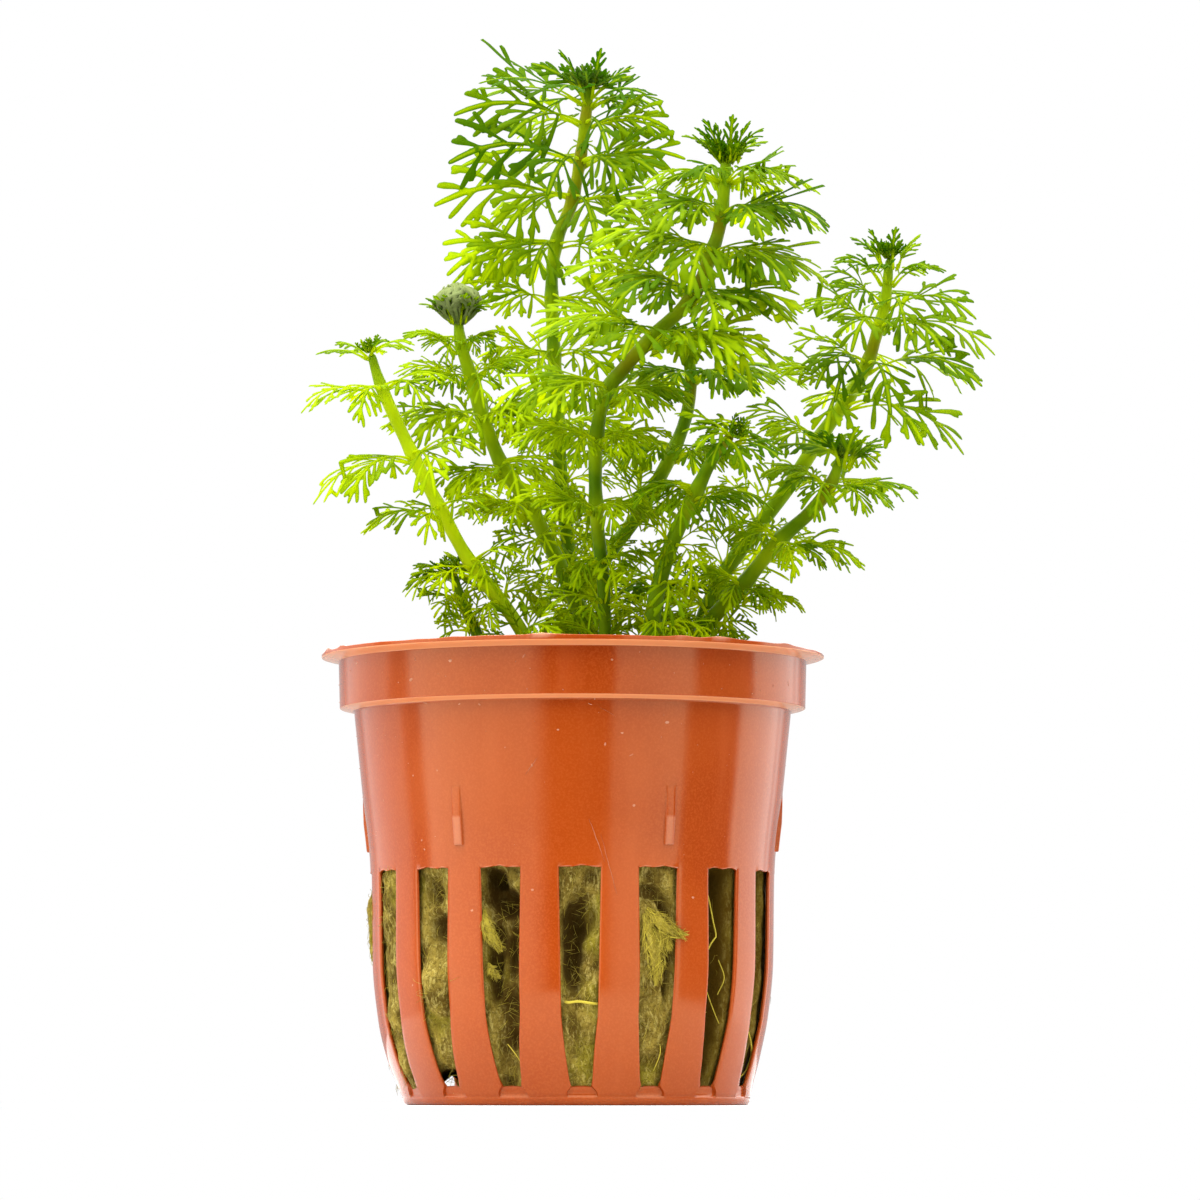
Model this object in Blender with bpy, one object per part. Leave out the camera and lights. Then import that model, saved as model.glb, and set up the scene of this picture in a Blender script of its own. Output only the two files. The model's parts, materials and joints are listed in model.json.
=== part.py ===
"""Potted dwarf ambulia: a slotted net pot, its rock wool plug, and ten shoots
that carry whorls of feather-cut leaves.

Units are metres, +Z is up, and the origin is the middle of the pot's base.
The viewer stands on the -Y side, so +X is the viewer's right."""

import math
import random

import bmesh
import bpy
from mathutils import Vector
from mathutils.bvhtree import BVHTree

MM = 0.001
UP = Vector((0.0, 0.0, 1.0))

# The pot's outside, from the base up: radius and height of each ring, in mm
BASE_EDGE = (18.8, 0.0)
SLOT_FOOT = (19.45, 2.1)
WALL_CURVE = [(20.3, 5.0), (21.3, 9.5), (21.9, 15.5)]
SLOT_HEAD = (22.05, 25.2)
STEP_INNER = (23.9, 42.8)
STEP_OUTER = (25.5, 43.2)
FLANGE_ROOT = (25.6, 48.05)
FLANGE_EDGE = (27.5, 48.55)
RIM_HEIGHT = 49.0
WALL = 1.0
FLOOR_EDGE_IN = 0.9
FLOOR_THICKNESS = 1.2
STEP_RISE = 0.8

# Sixteen slots go round the wall, and eight drain holes go round the floor
SLOT_COUNT = 16
SLOT_TURN = math.radians(1.1)
SLOT_WIDTH_FOOT = 2.3
SLOT_WIDTH_BEND = 3.9
SLOT_WIDTH_HEAD = 4.5
DRAIN_OUTER = 15.0
DRAIN_INNER = 6.0

# Wedge lugs that keep stacked pots apart
LUG_COUNT = 6
LUG_TURN = math.radians(27.5)
LUG_TOP = 34.5
LUG_BEND = 31.0
LUG_FOOT = 27.8
LUG_WIDTH = 1.1
LUG_PROUD = 0.75
LUG_ROOT_RISE = 0.4

# The rock wool fills the pot to just under the collar, with a soft top edge
WOOL_GAP = 0.55
WOOL_FOOT = 3.2
WOOL_TOP = 41.0
WOOL_SIDES = 16
WOOL_EDGE_DROP = 1.5
WOOL_EDGE_IN = 1.2
WOOL_FLAT_RADIUS = 10.0
WOOL_DIP = 0.25

# Every shoot: stem radius at the foot and at the tip, then the points that the
# stem passes through, from its tip down to the rock wool, in mm
STEM_FOOT = 41.8
STEM_SIDES = 6
STEM_BEND_SHARE = 0.3
STEMS = {
    "a": (1.05, 0.75, [
        (1.9, 9.0, 115.2), (1.1, 9.0, 107.6), (-0.1, 9.0, 100.8), (-1.9, 9.0, 96.0),
        (-2.4, 8.5, 89.8), (-1.8, 7.5, 78.2), (-1.4, 7.0, 70.3), (-0.5, 6.5, 61.3),
        (0.3, 6.0, 53.5), (1.2, 6.0, STEM_FOOT)]),
    "b": (1.1, 0.8, [
        (16.9, -9.0, 105.0), (16.2, -10.0, 96.3), (15.0, -11.0, 91.8), (12.9, -12.0, 87.0),
        (8.9, -13.0, 82.8), (5.7, -12.5, 79.4), (3.6, -12.0, 76.5), (2.6, -11.0, 71.5),
        (2.6, -10.0, 64.0), (3.4, -8.5, 55.5), (3.7, -7.5, STEM_FOOT)]),
    "c": (1.15, 0.75, [
        (35.3, 7.0, 95.2), (34.8, 7.0, 89.3), (33.8, 7.0, 85.5), (32.6, 7.0, 81.9),
        (30.6, 7.0, 78.4), (27.6, 6.5, 74.1), (24.1, 6.0, 68.6), (19.8, 5.5, 62.9),
        (16.3, 5.0, 57.8), (13.7, 4.5, 51.1), (12.2, 4.0, STEM_FOOT)]),
    "d": (1.1, 0.8, [
        (-12.7, 1.0, 88.2), (-12.4, 1.0, 84.0), (-11.3, 1.0, 80.2), (-10.0, 1.0, 75.7),
        (-7.7, 1.0, 70.0), (-5.2, 0.5, 66.4), (-2.8, 0.0, 61.8), (-0.2, -0.5, 56.3),
        (1.8, -1.0, 50.7), (3.2, -1.2, STEM_FOOT)]),
    "e": (1.0, 0.75, [
        (-22.3, -5.0, 82.9), (-20.8, -5.0, 78.0), (-17.4, -5.5, 70.6), (-14.4, -6.0, 64.7),
        (-11.1, -6.0, 58.8), (-7.3, -6.0, 54.0), (-4.6, -6.0, 49.3), (-2.6, -6.0, STEM_FOOT)]),
    "f": (1.15, 0.8, [
        (29.5, -8.0, 71.3), (28.1, -8.0, 67.2), (25.8, -8.0, 64.1), (22.4, -7.5, 61.0),
        (18.4, -6.0, 56.2), (14.7, -5.0, 52.1), (12.8, -4.2, 48.3), (11.4, -4.0, STEM_FOOT)]),
    "g": (1.15, 0.85, [
        (17.9, -21.5, 72.0), (15.3, -18.0, 69.2), (13.4, -15.0, 65.8), (10.8, -13.0, 60.4),
        (9.2, -12.0, 55.3), (8.4, -11.5, 49.9), (8.1, -11.0, STEM_FOOT)]),
    "h": (1.15, 0.8, [
        (13.2, 15.0, 86.0), (13.1, 15.0, 79.3), (11.5, 14.0, 73.8), (7.5, 13.0, 66.3),
        (3.6, 12.5, 61.0), (0.8, 12.0, 56.6), (-0.3, 12.0, 52.0), (-0.6, 12.0, STEM_FOOT)]),
    "j": (0.9, 0.7, [
        (-13.6, -3.0, 59.6), (-12.1, -3.0, 54.9), (-10.1, -3.0, 50.2), (-8.2, -3.0, STEM_FOOT)]),
    "m": (0.95, 0.75, [
        (9.9, 2.0, 57.6), (9.2, 2.0, 52.1), (8.6, 1.5, STEM_FOOT)]),
}

# Every whorl: height of its node, then where its leftmost and its rightmost leaf
# end, as seen by the viewer (across and up from the node), and how far its front
# leaves rise or hang at their tips, in mm. A shoot's first whorl is its crown.
WHORLS = {
    "a": [
        (113.6, (-6.5, 2.6), (5.6, 1.6), 4.5), (112.0, (-13.6, 1.6), (8.6, 0.2), 0.0),
        (109.6, (-14.8, 0.8), (10.3, -0.6), -4.0), (105.4, (-16.6, 0.2), (11.9, 0.0), -5.0),
        (101.2, (-15.6, -1.0), (10.3, -2.0), -6.0), (95.9, (-14.0, -3.7), (9.7, -2.0), -5.0),
        (89.7, (-10.0, 1.8), (9.8, -2.5), -5.0), (83.5, (-9.4, 0.0), (9.6, -1.7), -4.0),
        (75.5, (-9.6, -0.6), (9.4, -0.6), -3.0)],
    "b": [
        (103.6, (-5.0, 1.6), (5.0, 1.2), 4.5), (100.3, (-9.7, -1.3), (10.5, -1.8), -1.0),
        (96.5, (-12.6, 0.1), (13.0, -1.3), -4.0), (92.0, (-14.4, 1.4), (13.0, -4.0), -5.0),
        (87.0, (-14.0, 2.6), (13.2, -2.1), -4.0), (82.5, (-13.9, -0.2), (15.4, -3.2), -3.0),
        (77.0, (-12.6, -2.1), (9.9, -1.1), -4.0), (72.0, (-10.4, -1.2), (8.4, -0.2), -4.0),
        (64.7, (-9.4, 0.5), (7.8, -1.6), -3.0)],
    "c": [
        (94.2, (-4.4, 2.2), (4.2, 1.8), 3.5), (92.0, (-6.8, 2.1), (6.6, 0.6), 0.0),
        (89.2, (-7.4, 3.3), (11.1, -1.8), -4.0), (86.6, (-9.4, 2.5), (12.9, -3.4), -4.0),
        (82.3, (-8.8, 2.0), (14.1, -2.7), -6.0), (78.2, (-8.4, 4.4), (13.0, -6.3), -5.0),
        (73.6, (-9.4, 2.7), (7.0, -3.6), -4.0)],
    "d": [
        (87.2, (-4.4, 0.8), (4.4, 0.8), 2.0), (83.8, (-7.2, 0.9), (5.4, 0.8), -3.0),
        (80.0, (-8.4, 0.7), (8.0, 2.4), -4.0), (75.5, (-12.4, -1.2), (8.2, 1.2), -4.0),
        (70.0, (-9.6, -3.8), (7.8, -2.2), -4.0), (65.6, (-9.2, -1.0), (8.6, -0.1), -3.0)],
    "e": [
        (82.2, (-6.0, -0.4), (5.4, 0.4), 0.5), (78.0, (-9.6, -2.6), (8.2, 0.4), -4.0),
        (70.6, (-10.9, -5.5), (8.6, 0.9), -5.0), (64.7, (-9.2, -2.8), (7.0, 1.6), -4.0),
        (58.7, (-7.2, -3.6), (6.4, 1.7), -4.0)],
    "f": [
        (70.4, (-7.6, 0.6), (5.4, 1.0), 3.0), (66.8, (-8.2, 2.4), (9.8, -0.9), -4.0),
        (61.0, (-6.4, 0.9), (10.4, -3.3), -4.0), (56.2, (-6.2, 0.7), (7.0, -2.8), -3.0)],
    "g": [
        (71.3, (-6.4, 2.0), (5.8, -2.6), -5.0), (65.6, (-8.0, -0.8), (8.2, -1.6), -5.0)],
    "h": [
        (85.2, (-6.4, 1.4), (6.4, 1.6), 3.0), (81.6, (-8.4, -0.7), (13.4, -1.4), -3.0),
        (73.3, (-8.8, -2.3), (9.2, -2.3), -3.0)],
    "j": [(58.4, (-5.4, -2.6), (6.2, 0.6), -1.0)],
    "m": [(56.4, (-6.4, -1.6), (6.4, -0.6), 1.0)],
}

# One leaf, as shares of its own length, and its collar in mm
LEAF_COUNT = 7
LEAF_JITTER = 5.0
FRONT_LEAF_SHARE = 0.94
LEAF_ARCH = 0.17
CROWN_ARCH = 0.08
LEAF_HALF_WIDTH = 0.26
SIDE_TIP_AT = 0.60
STALK_END_AT = 0.28
STALK_HALF_WIDTH = 0.05
STALK_LEAST = 0.45
LEAF_THICKNESS = 0.6
COLLAR_HEIGHT = 0.9
COLLAR_DEPTH = 0.6
STALK_ROOT_SHARE = 0.7
FACE_TURN = {"a": 42.0, "b": 14.0, "c": 30.0, "d": 20.0, "e": 24.0,
             "f": 26.0, "g": 20.0, "h": 14.0, "j": 20.0, "m": 16.0}

# Touching pieces keep a small gap, and leaves keep a little more
GAP = 0.3
LEAF_CLEARANCE = 0.3
TURNS = (0.0, 5.0, -5.0, 10.0, -10.0, 15.0, -15.0)
LIFTS = (0.0, 5.0, -5.0, 10.0, -10.0, 16.0, -16.0, 24.0, -24.0)
TRIMS = (1.0, 0.92, 0.84, 0.76, 0.66, 0.56, 0.46, 0.36)


def clear_scene():
    for item in list(bpy.data.objects):
        bpy.data.objects.remove(item, do_unlink=True)


def make_material(name, colour, roughness):
    material = bpy.data.materials.new(name)
    material.use_nodes = True
    shader = material.node_tree.nodes["Principled BSDF"]
    shader.inputs["Base Color"].default_value = (*colour, 1.0)
    shader.inputs["Roughness"].default_value = roughness
    shader.inputs["Metallic"].default_value = 0.0
    return material


def add_object(name, mesh_data, material, smooth_angle=None):
    """Make a named object from corners in mm and faces, with its faces out."""
    points, faces = mesh_data
    shape = bmesh.new()
    corners = [shape.verts.new(Vector(point) * MM) for point in points]
    for face in faces:
        shape.faces.new([corners[index] for index in face])
    bmesh.ops.triangulate(shape, faces=shape.faces)
    bmesh.ops.recalc_face_normals(shape, faces=shape.faces)
    mesh = bpy.data.meshes.new(name)
    shape.to_mesh(mesh)
    shape.free()
    mesh.materials.append(material)
    if smooth_angle is not None:
        mesh.shade_smooth()
        mesh.set_sharp_from_angle(angle=math.radians(smooth_angle))
    item = bpy.data.objects.new(name, mesh)
    bpy.context.scene.collection.objects.link(item)
    return item


def polar(radius, angle, height):
    return Vector((radius * math.cos(angle), radius * math.sin(angle), height))


def slot_half_angle(radius, height):
    """Half the angle that a slot takes up at a height of the wall."""
    bend_height = WALL_CURVE[1][1]
    if height <= bend_height:
        share = max(0.0, (height - SLOT_FOOT[1]) / (bend_height - SLOT_FOOT[1]))
        width = SLOT_WIDTH_FOOT + share * (SLOT_WIDTH_BEND - SLOT_WIDTH_FOOT)
    elif height <= SLOT_HEAD[1]:
        share = (height - bend_height) / (SLOT_HEAD[1] - bend_height)
        width = SLOT_WIDTH_BEND + share * (SLOT_WIDTH_HEAD - SLOT_WIDTH_BEND)
    else:
        return math.pi / SLOT_COUNT / 2.0
    return math.asin(width / 2.0 / radius)


def pot_ring(radius, height, slot_height):
    """Two points for each slot: its left and its right edge, in mm."""
    points = []
    half = slot_half_angle(radius, slot_height)
    for slot in range(SLOT_COUNT):
        middle = SLOT_TURN - math.pi / 2.0 + slot * 2.0 * math.pi / SLOT_COUNT
        points.append(polar(radius, middle - half, height))
        points.append(polar(radius, middle + half, height))
    return points


def pot_mesh():
    """The pot as one skin: floor, wall with slots, step, collar and flange."""
    slot_rows = [SLOT_FOOT] + WALL_CURVE + [SLOT_HEAD]
    outer = [BASE_EDGE] + slot_rows + [STEP_INNER, STEP_OUTER, FLANGE_ROOT, FLANGE_EDGE]
    outer.append((FLANGE_EDGE[0], RIM_HEIGHT))
    inner = [(BASE_EDGE[0] - FLOOR_EDGE_IN, FLOOR_THICKNESS)]
    inner += [(radius - WALL, height) for radius, height in slot_rows]
    inner.append((STEP_INNER[0] - WALL, STEP_INNER[1] + STEP_RISE))
    inner.append((STEP_OUTER[0] - WALL, STEP_OUTER[1] + STEP_RISE))
    inner.append((FLANGE_ROOT[0] - WALL, RIM_HEIGHT))
    rows = {"under": [], "outer": [], "inner": [], "floor": []}
    points = []

    def add_row(kind, radius, height, slot_height):
        rows[kind].append(len(points))
        points.extend(pot_ring(radius, height, slot_height))

    for radius in (DRAIN_INNER, DRAIN_OUTER):
        add_row("under", radius, 0.0, RIM_HEIGHT)
        add_row("floor", radius, FLOOR_THICKNESS, RIM_HEIGHT)
    for radius, height in outer:
        add_row("outer", radius, height, height)
    for radius, height in inner:
        add_row("inner", radius, height, height)
    under_middle = len(points)
    points.append(Vector((0.0, 0.0, 0.0)))
    floor_middle = len(points)
    points.append(Vector((0.0, 0.0, FLOOR_THICKNESS)))

    count = 2 * SLOT_COUNT
    faces = []

    def strip(low, high, skip=None):
        for index in range(count):
            following = (index + 1) % count
            if skip is None or not skip(index):
                faces.append((low + index, low + following, high + following, high + index))

    def is_slot(index):
        return index % 2 == 0

    def is_drain(index):
        return index % 4 == 1

    # Row 0 is the base edge or the floor's edge, rows 1 to 5 run along the slots
    slot_first = 1
    slot_last = len(slot_rows)
    for kind in ("outer", "inner"):
        for row in range(len(rows[kind]) - 1):
            skip = is_slot if slot_first <= row < slot_last else None
            strip(rows[kind][row], rows[kind][row + 1], skip)
    strip(rows["outer"][-1], rows["inner"][-1])
    for kind, edge, middle in (("under", "outer", under_middle), ("floor", "inner", floor_middle)):
        strip(rows[kind][0], rows[kind][1], is_drain)
        strip(rows[kind][1], rows[edge][0])
        for index in range(count):
            faces.append((middle, rows[kind][0] + index, rows[kind][0] + (index + 1) % count))

    def bridge(first, second):
        faces.append((first[0], first[1], second[1], second[0]))

    for index in range(count):
        following = (index + 1) % count
        for row in range(slot_first, slot_last):
            out_low, out_high = rows["outer"][row], rows["outer"][row + 1]
            in_low, in_high = rows["inner"][row], rows["inner"][row + 1]
            bridge((out_low + index, out_high + index), (in_low + index, in_high + index))
        if is_slot(index):
            for row in (slot_first, slot_last):
                out_row, in_row = rows["outer"][row], rows["inner"][row]
                bridge((out_row + index, out_row + following), (in_row + index, in_row + following))
        if is_drain(index):
            for row in (0, 1):
                low, high = rows["under"][row], rows["floor"][row]
                bridge((low + index, low + following), (high + index, high + following))
            for side in (index, following):
                bridge((rows["under"][0] + side, rows["under"][1] + side),
                       (rows["floor"][0] + side, rows["floor"][1] + side))
    return points, faces


def wall_radius(height):
    """The outer radius of the plain wall between the slots and the step."""
    share = (height - SLOT_HEAD[1]) / (STEP_INNER[1] - SLOT_HEAD[1])
    return SLOT_HEAD[0] + share * (STEP_INNER[0] - SLOT_HEAD[0])


def lug_mesh():
    """Six wedges: flush with the wall at the top and proud at the foot."""
    points = []
    faces = []
    sunk = WALL / 2.0
    profile = [(-sunk, LUG_TOP + LUG_ROOT_RISE), (0.0, LUG_TOP), (LUG_PROUD, LUG_BEND),
               (LUG_PROUD, LUG_FOOT), (-sunk, LUG_FOOT)]
    for lug in range(LUG_COUNT):
        angle = LUG_TURN - math.pi / 2.0 + lug * 2.0 * math.pi / LUG_COUNT
        out = polar(1.0, angle, 0.0)
        across = Vector((-out.y, out.x, 0.0)) * LUG_WIDTH / 2.0
        start = len(points)
        for side in (-1.0, 1.0):
            for proud, height in profile:
                centre = out * (wall_radius(height) + proud)
                points.append(centre + across * side + UP * height)
        size = len(profile)
        faces.append(tuple(start + index for index in range(size)))
        faces.append(tuple(start + size + index for index in reversed(range(size))))
        for index in range(size):
            following = (index + 1) % size
            faces.append((start + following, start + index,
                          start + size + index, start + size + following))
    return points, faces


def build_pot(material):
    pot = add_object("net_pot", pot_mesh(), material, smooth_angle=35.0)
    lugs = add_object("lug_guide", lug_mesh(), material)
    lugs.hide_render = True
    lugs.display_type = "WIRE"
    union = pot.modifiers.new("lugs", "BOOLEAN")
    union.operation = "UNION"
    union.solver = "EXACT"
    union.object = lugs
    return pot


def wool_mesh(dice):
    """The plug follows the pot's inside, and its top is a little uneven."""
    middle = RIM_HEIGHT / 2.0
    rows = [(BASE_EDGE[0] - WALL - WOOL_GAP, WOOL_FOOT)]
    for radius, height in WALL_CURVE + [SLOT_HEAD]:
        rows.append((radius - WALL - WOOL_GAP, height))
    edge = WOOL_TOP - WOOL_EDGE_DROP
    rows.append((wall_radius(edge) - WALL - WOOL_GAP, edge))
    rows.append((wall_radius(WOOL_TOP) - WALL - WOOL_GAP - WOOL_EDGE_IN, WOOL_TOP))
    rows.append((WOOL_FLAT_RADIUS, WOOL_TOP))
    points = []
    for radius, height in rows:
        for side in range(WOOL_SIDES):
            angle = (side + 0.5) * 2.0 * math.pi / WOOL_SIDES
            dip = dice.uniform(0.0, WOOL_DIP) if height > middle else 0.0
            points.append(polar(radius - dip, angle, height - dip))
    faces = []
    for row in range(len(rows) - 1):
        for side in range(WOOL_SIDES):
            following = (side + 1) % WOOL_SIDES
            low, high = row * WOOL_SIDES, (row + 1) * WOOL_SIDES
            faces.append((low + side, low + following, high + following, high + side))
    faces.append(tuple(reversed(range(WOOL_SIDES))))
    top = (len(rows) - 1) * WOOL_SIDES
    faces.append(tuple(top + side for side in range(WOOL_SIDES)))
    return points, faces


def foot_first(route):
    return [Vector(point) for point in reversed(route)]


def tangents(points):
    result = []
    last = len(points) - 1
    for index in range(len(points)):
        run = points[min(index + 1, last)] - points[max(index - 1, 0)]
        result.append(run.normalized())
    return result


def stem_mesh(name):
    """A six-sided stem that tapers from its foot to its tip."""
    foot_radius, tip_radius, route = STEMS[name]
    points = foot_first(route)
    along = tangents(points)
    corners = []
    side_way = Vector((1.0, 0.0, 0.0))
    for index, point in enumerate(points):
        share = index / (len(points) - 1)
        radius = foot_radius + share * (tip_radius - foot_radius)
        side_way = (side_way - along[index] * side_way.dot(along[index])).normalized()
        other_way = along[index].cross(side_way)
        for side in range(STEM_SIDES):
            angle = side * 2.0 * math.pi / STEM_SIDES
            corners.append(point + radius * (side_way * math.cos(angle) + other_way * math.sin(angle)))
    faces = [tuple(reversed(range(STEM_SIDES)))]
    for row in range(len(points) - 1):
        for side in range(STEM_SIDES):
            following = (side + 1) % STEM_SIDES
            low, high = row * STEM_SIDES, (row + 1) * STEM_SIDES
            faces.append((low + side, low + following, high + following, high + side))
    top = (len(points) - 1) * STEM_SIDES
    faces.append(tuple(top + side for side in range(STEM_SIDES)))
    return corners, faces


def stem_at(name, height):
    """Centre, direction and radius of a stem at a height, all in mm."""
    foot_radius, tip_radius, route = STEMS[name]
    points = foot_first(route)
    along = tangents(points)
    for index in range(len(points) - 1):
        low, high = points[index], points[index + 1]
        if low.z <= height <= high.z:
            share = (height - low.z) / (high.z - low.z)
            way = (high - low).normalized()
            turned = along[index].lerp(along[index + 1], share).normalized()
            progress = (index + share) / (len(points) - 1)
            radius = foot_radius + progress * (tip_radius - foot_radius)
            return low.lerp(high, share), way.lerp(turned, STEM_BEND_SHARE).normalized(), radius
    raise ValueError(name)


def leaf_reach(whorl, angle):
    """Length and rise of the leaf that points to an angle, from the two side
    leaves and the front leaves that the whorl gives."""
    height, left, right, front_rise = whorl
    right_length = math.hypot(*right)
    left_length = math.hypot(*left)
    middle_length = FRONT_LEAF_SHARE * 0.5 * (right_length + left_length)
    right_rise = math.atan2(right[1], right[0])
    left_rise = math.atan2(left[1], -left[0])
    front = math.asin(max(-0.8, min(0.8, front_rise / middle_length)))
    back = 0.5 * (right_rise + left_rise)
    east = max(0.0, math.cos(angle)) ** 2
    west = max(0.0, -math.cos(angle)) ** 2
    south = max(0.0, -math.sin(angle)) ** 2
    north = max(0.0, math.sin(angle)) ** 2
    length = east * right_length + west * left_length + (south + north) * middle_length
    rise = east * right_rise + west * left_rise + south * front + north * back
    return length, rise


def leaf_points(node, start, angle, rise, length, arch, face_turn, clearance=0.0):
    """The free corners of one leaf: stalk's end, side tips, tip and the two hubs."""
    out = Vector((math.cos(angle) * math.cos(rise), math.sin(angle) * math.cos(rise), math.sin(rise)))
    tip = node + out * length
    chord = tip - start
    size = chord.length
    way = chord.normalized()
    across = Vector((-math.sin(angle), math.cos(angle), 0.0))
    above = way.cross(across)
    roll = math.radians(face_turn) * math.cos(angle)
    blade_across = across * math.cos(roll) + above * math.sin(roll)
    bend = start + chord * 0.5 + above * (2.0 * arch * size)

    def spot(share, aside):
        centre = start.lerp(bend, share).lerp(bend.lerp(tip, share), share)
        return centre + blade_across * aside

    half = size * LEAF_HALF_WIDTH + clearance
    stalk = max(size * STALK_HALF_WIDTH, STALK_LEAST) + clearance
    face = (tip - start).cross(blade_across).normalized() * (LEAF_THICKNESS / 2.0 + clearance)
    hub = spot(0.5, 0.0)
    upper, lower = (hub + face, hub - face) if face.z > 0 else (hub - face, hub + face)
    return {
        "upper": upper, "lower": lower, "tip": tip + way * clearance,
        "right": spot(SIDE_TIP_AT, half), "left": spot(SIDE_TIP_AT, -half),
        "right_stalk": spot(STALK_END_AT, stalk), "left_stalk": spot(STALK_END_AT, -stalk),
    }


def leaf_faces(ring_start, ring_next, first):
    """Faces of one leaf between two corners of its collar. A collar corner is
    three points: upper inside, lower inside and outside."""
    top_a, bottom_a, outer_a = ring_start, ring_start + 1, ring_start + 2
    top_b, bottom_b, outer_b = ring_next, ring_next + 1, ring_next + 2
    upper, lower, tip, right, left, right_stalk, left_stalk = range(first, first + 7)
    edge = [outer_b, right_stalk, right, tip, left, left_stalk, outer_a]
    faces = [(top_a, bottom_a, bottom_b), (top_a, bottom_b, top_b)]
    for hub, inner_a, inner_b in ((upper, top_a, top_b), (lower, bottom_a, bottom_b)):
        loop = [inner_a, inner_b] + edge
        for index in range(len(loop)):
            faces.append((hub, loop[index], loop[(index + 1) % len(loop)]))
    return faces


def tree_of(points, faces):
    return BVHTree.FromPolygons([tuple(point) for point in points], faces, epsilon=0.0)


class Obstacles:
    """What a new leaf keeps clear of: a list of search trees with their boxes."""

    def __init__(self):
        self.items = []

    def add(self, points, faces):
        low = [min(point[axis] for point in points) for axis in range(3)]
        high = [max(point[axis] for point in points) for axis in range(3)]
        self.items.append((low, high, tree_of(points, faces)))

    def touches(self, points, faces):
        low = [min(point[axis] for point in points) for axis in range(3)]
        high = [max(point[axis] for point in points) for axis in range(3)]
        tree = None
        for item_low, item_high, item_tree in self.items:
            if any(low[axis] > item_high[axis] or high[axis] < item_low[axis] for axis in range(3)):
                continue
            tree = tree or tree_of(points, faces)
            if tree.overlap(item_tree):
                return True
        return False


def collar(name, whorl, angles):
    """Node, and the collar's corners: for each gap between two leaves the upper
    inside, lower inside and outside point."""
    node, axis, radius = stem_at(name, whorl[0])
    forward = Vector((1.0, 0.0, 0.0))
    forward = (forward - axis * forward.dot(axis)).normalized()
    aside = axis.cross(forward)
    inside = (radius + GAP) / math.cos(math.pi / LEAF_COUNT)
    turned = []
    for angle in angles:
        out = polar(1.0, angle, 0.0)
        turned.append(math.atan2(out.dot(aside), out.dot(forward)))
    points = []
    starts = []
    for index in range(LEAF_COUNT):
        before = turned[index - 1]
        gap = (turned[index] - before) % (2.0 * math.pi)
        middle = before + gap / 2.0
        way = forward * math.cos(middle) + aside * math.sin(middle)
        points.append(node + way * inside + axis * (COLLAR_HEIGHT / 2.0))
        points.append(node + way * inside - axis * (COLLAR_HEIGHT / 2.0))
        points.append(node + way * (inside + COLLAR_DEPTH))
        own = forward * math.cos(turned[index]) + aside * math.sin(turned[index])
        starts.append(node + own * (inside + COLLAR_DEPTH * STALK_ROOT_SHARE))
    return node, points, starts


def place_leaf(obstacles, blades, node, start, angle, whorl, arch, face_turn, collar_points, index):
    """Turn, lift or shorten a leaf until it is clear of all that grew before it."""
    length, rise = leaf_reach(whorl, angle)
    ring_start = 3 * index
    ring_next = 3 * ((index + 1) % LEAF_COUNT)
    faces = leaf_faces(ring_start, ring_next, 3 * LEAF_COUNT)
    used = sorted({corner for face in faces for corner in face})
    renumber = {corner: place for place, corner in enumerate(used)}
    own_faces = [tuple(renumber[corner] for corner in face) for face in faces]
    blade = [tuple(place - 6 for place in face) for face in own_faces if min(face) >= 6]
    for trim in TRIMS:
        for lift in LIFTS:
            for turn in TURNS:
                tried = (node, start, angle + math.radians(turn), rise + math.radians(lift),
                         length * trim, arch, face_turn)
                wide = list(leaf_points(*tried, LEAF_CLEARANCE).values())
                around = [collar_points[corner] for corner in used[:6]] + wide
                if obstacles.touches(around, own_faces) or blades.touches(wide, blade):
                    continue
                exact = list(leaf_points(*tried).values())
                blades.add(exact, blade)
                return exact, faces
    raise ValueError("no room for a leaf")


def whorl_angles(order, dice):
    """Even spacing round the stem. Every second whorl is turned the other way."""
    first = math.pi if order % 2 == 0 else 0.0
    step = 2.0 * math.pi / LEAF_COUNT
    jitter = math.radians(LEAF_JITTER)
    return [first + step * leaf + dice.uniform(-jitter, jitter) for leaf in range(LEAF_COUNT)]


def grow_whorls(materials, obstacles, dice):
    """All whorls, highest first. Collars come first, because stems fix them."""
    plan = []
    for name, whorls in WHORLS.items():
        for order, whorl in enumerate(whorls):
            angles = whorl_angles(order, dice)
            plan.append((name, order, whorl, angles, collar(name, whorl, angles)))
    collar_faces = []
    for index in range(LEAF_COUNT):
        this, following = 3 * index, 3 * ((index + 1) % LEAF_COUNT)
        collar_faces.append((this, this + 2, following + 2, following))
        collar_faces.append((this + 2, this + 1, following + 1, following + 2))
    grown = []
    for name, order, whorl, angles, (node, ring, starts) in sorted(plan, key=lambda item: -item[2][0]):
        others = Obstacles()
        others.items = list(obstacles.items)
        for other in plan:
            if other[4][1] is not ring:
                others.add(other[4][1], collar_faces)
        blades = Obstacles()
        points = list(ring)
        faces = []
        arch = CROWN_ARCH if order == 0 else LEAF_ARCH
        for index, angle in enumerate(angles):
            leaf, leaf_parts = place_leaf(others, blades, node, starts[index], angle, whorl, arch,
                                          FACE_TURN[name], ring, index)
            offset = len(points) - 3 * LEAF_COUNT
            for face in leaf_parts:
                faces.append(tuple(corner if corner < 3 * LEAF_COUNT else corner + offset
                                   for corner in face))
            points.extend(leaf)
        obstacles.add(points, faces)
        grown.append((name, order, points, faces))
    for name, order, points, faces in sorted(grown, key=lambda item: (item[0], item[1])):
        kind = "crown" if order == 0 else f"whorl_{order}"
        add_object(f"{kind}_{name}", (points, faces), materials["leaf"])


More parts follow.
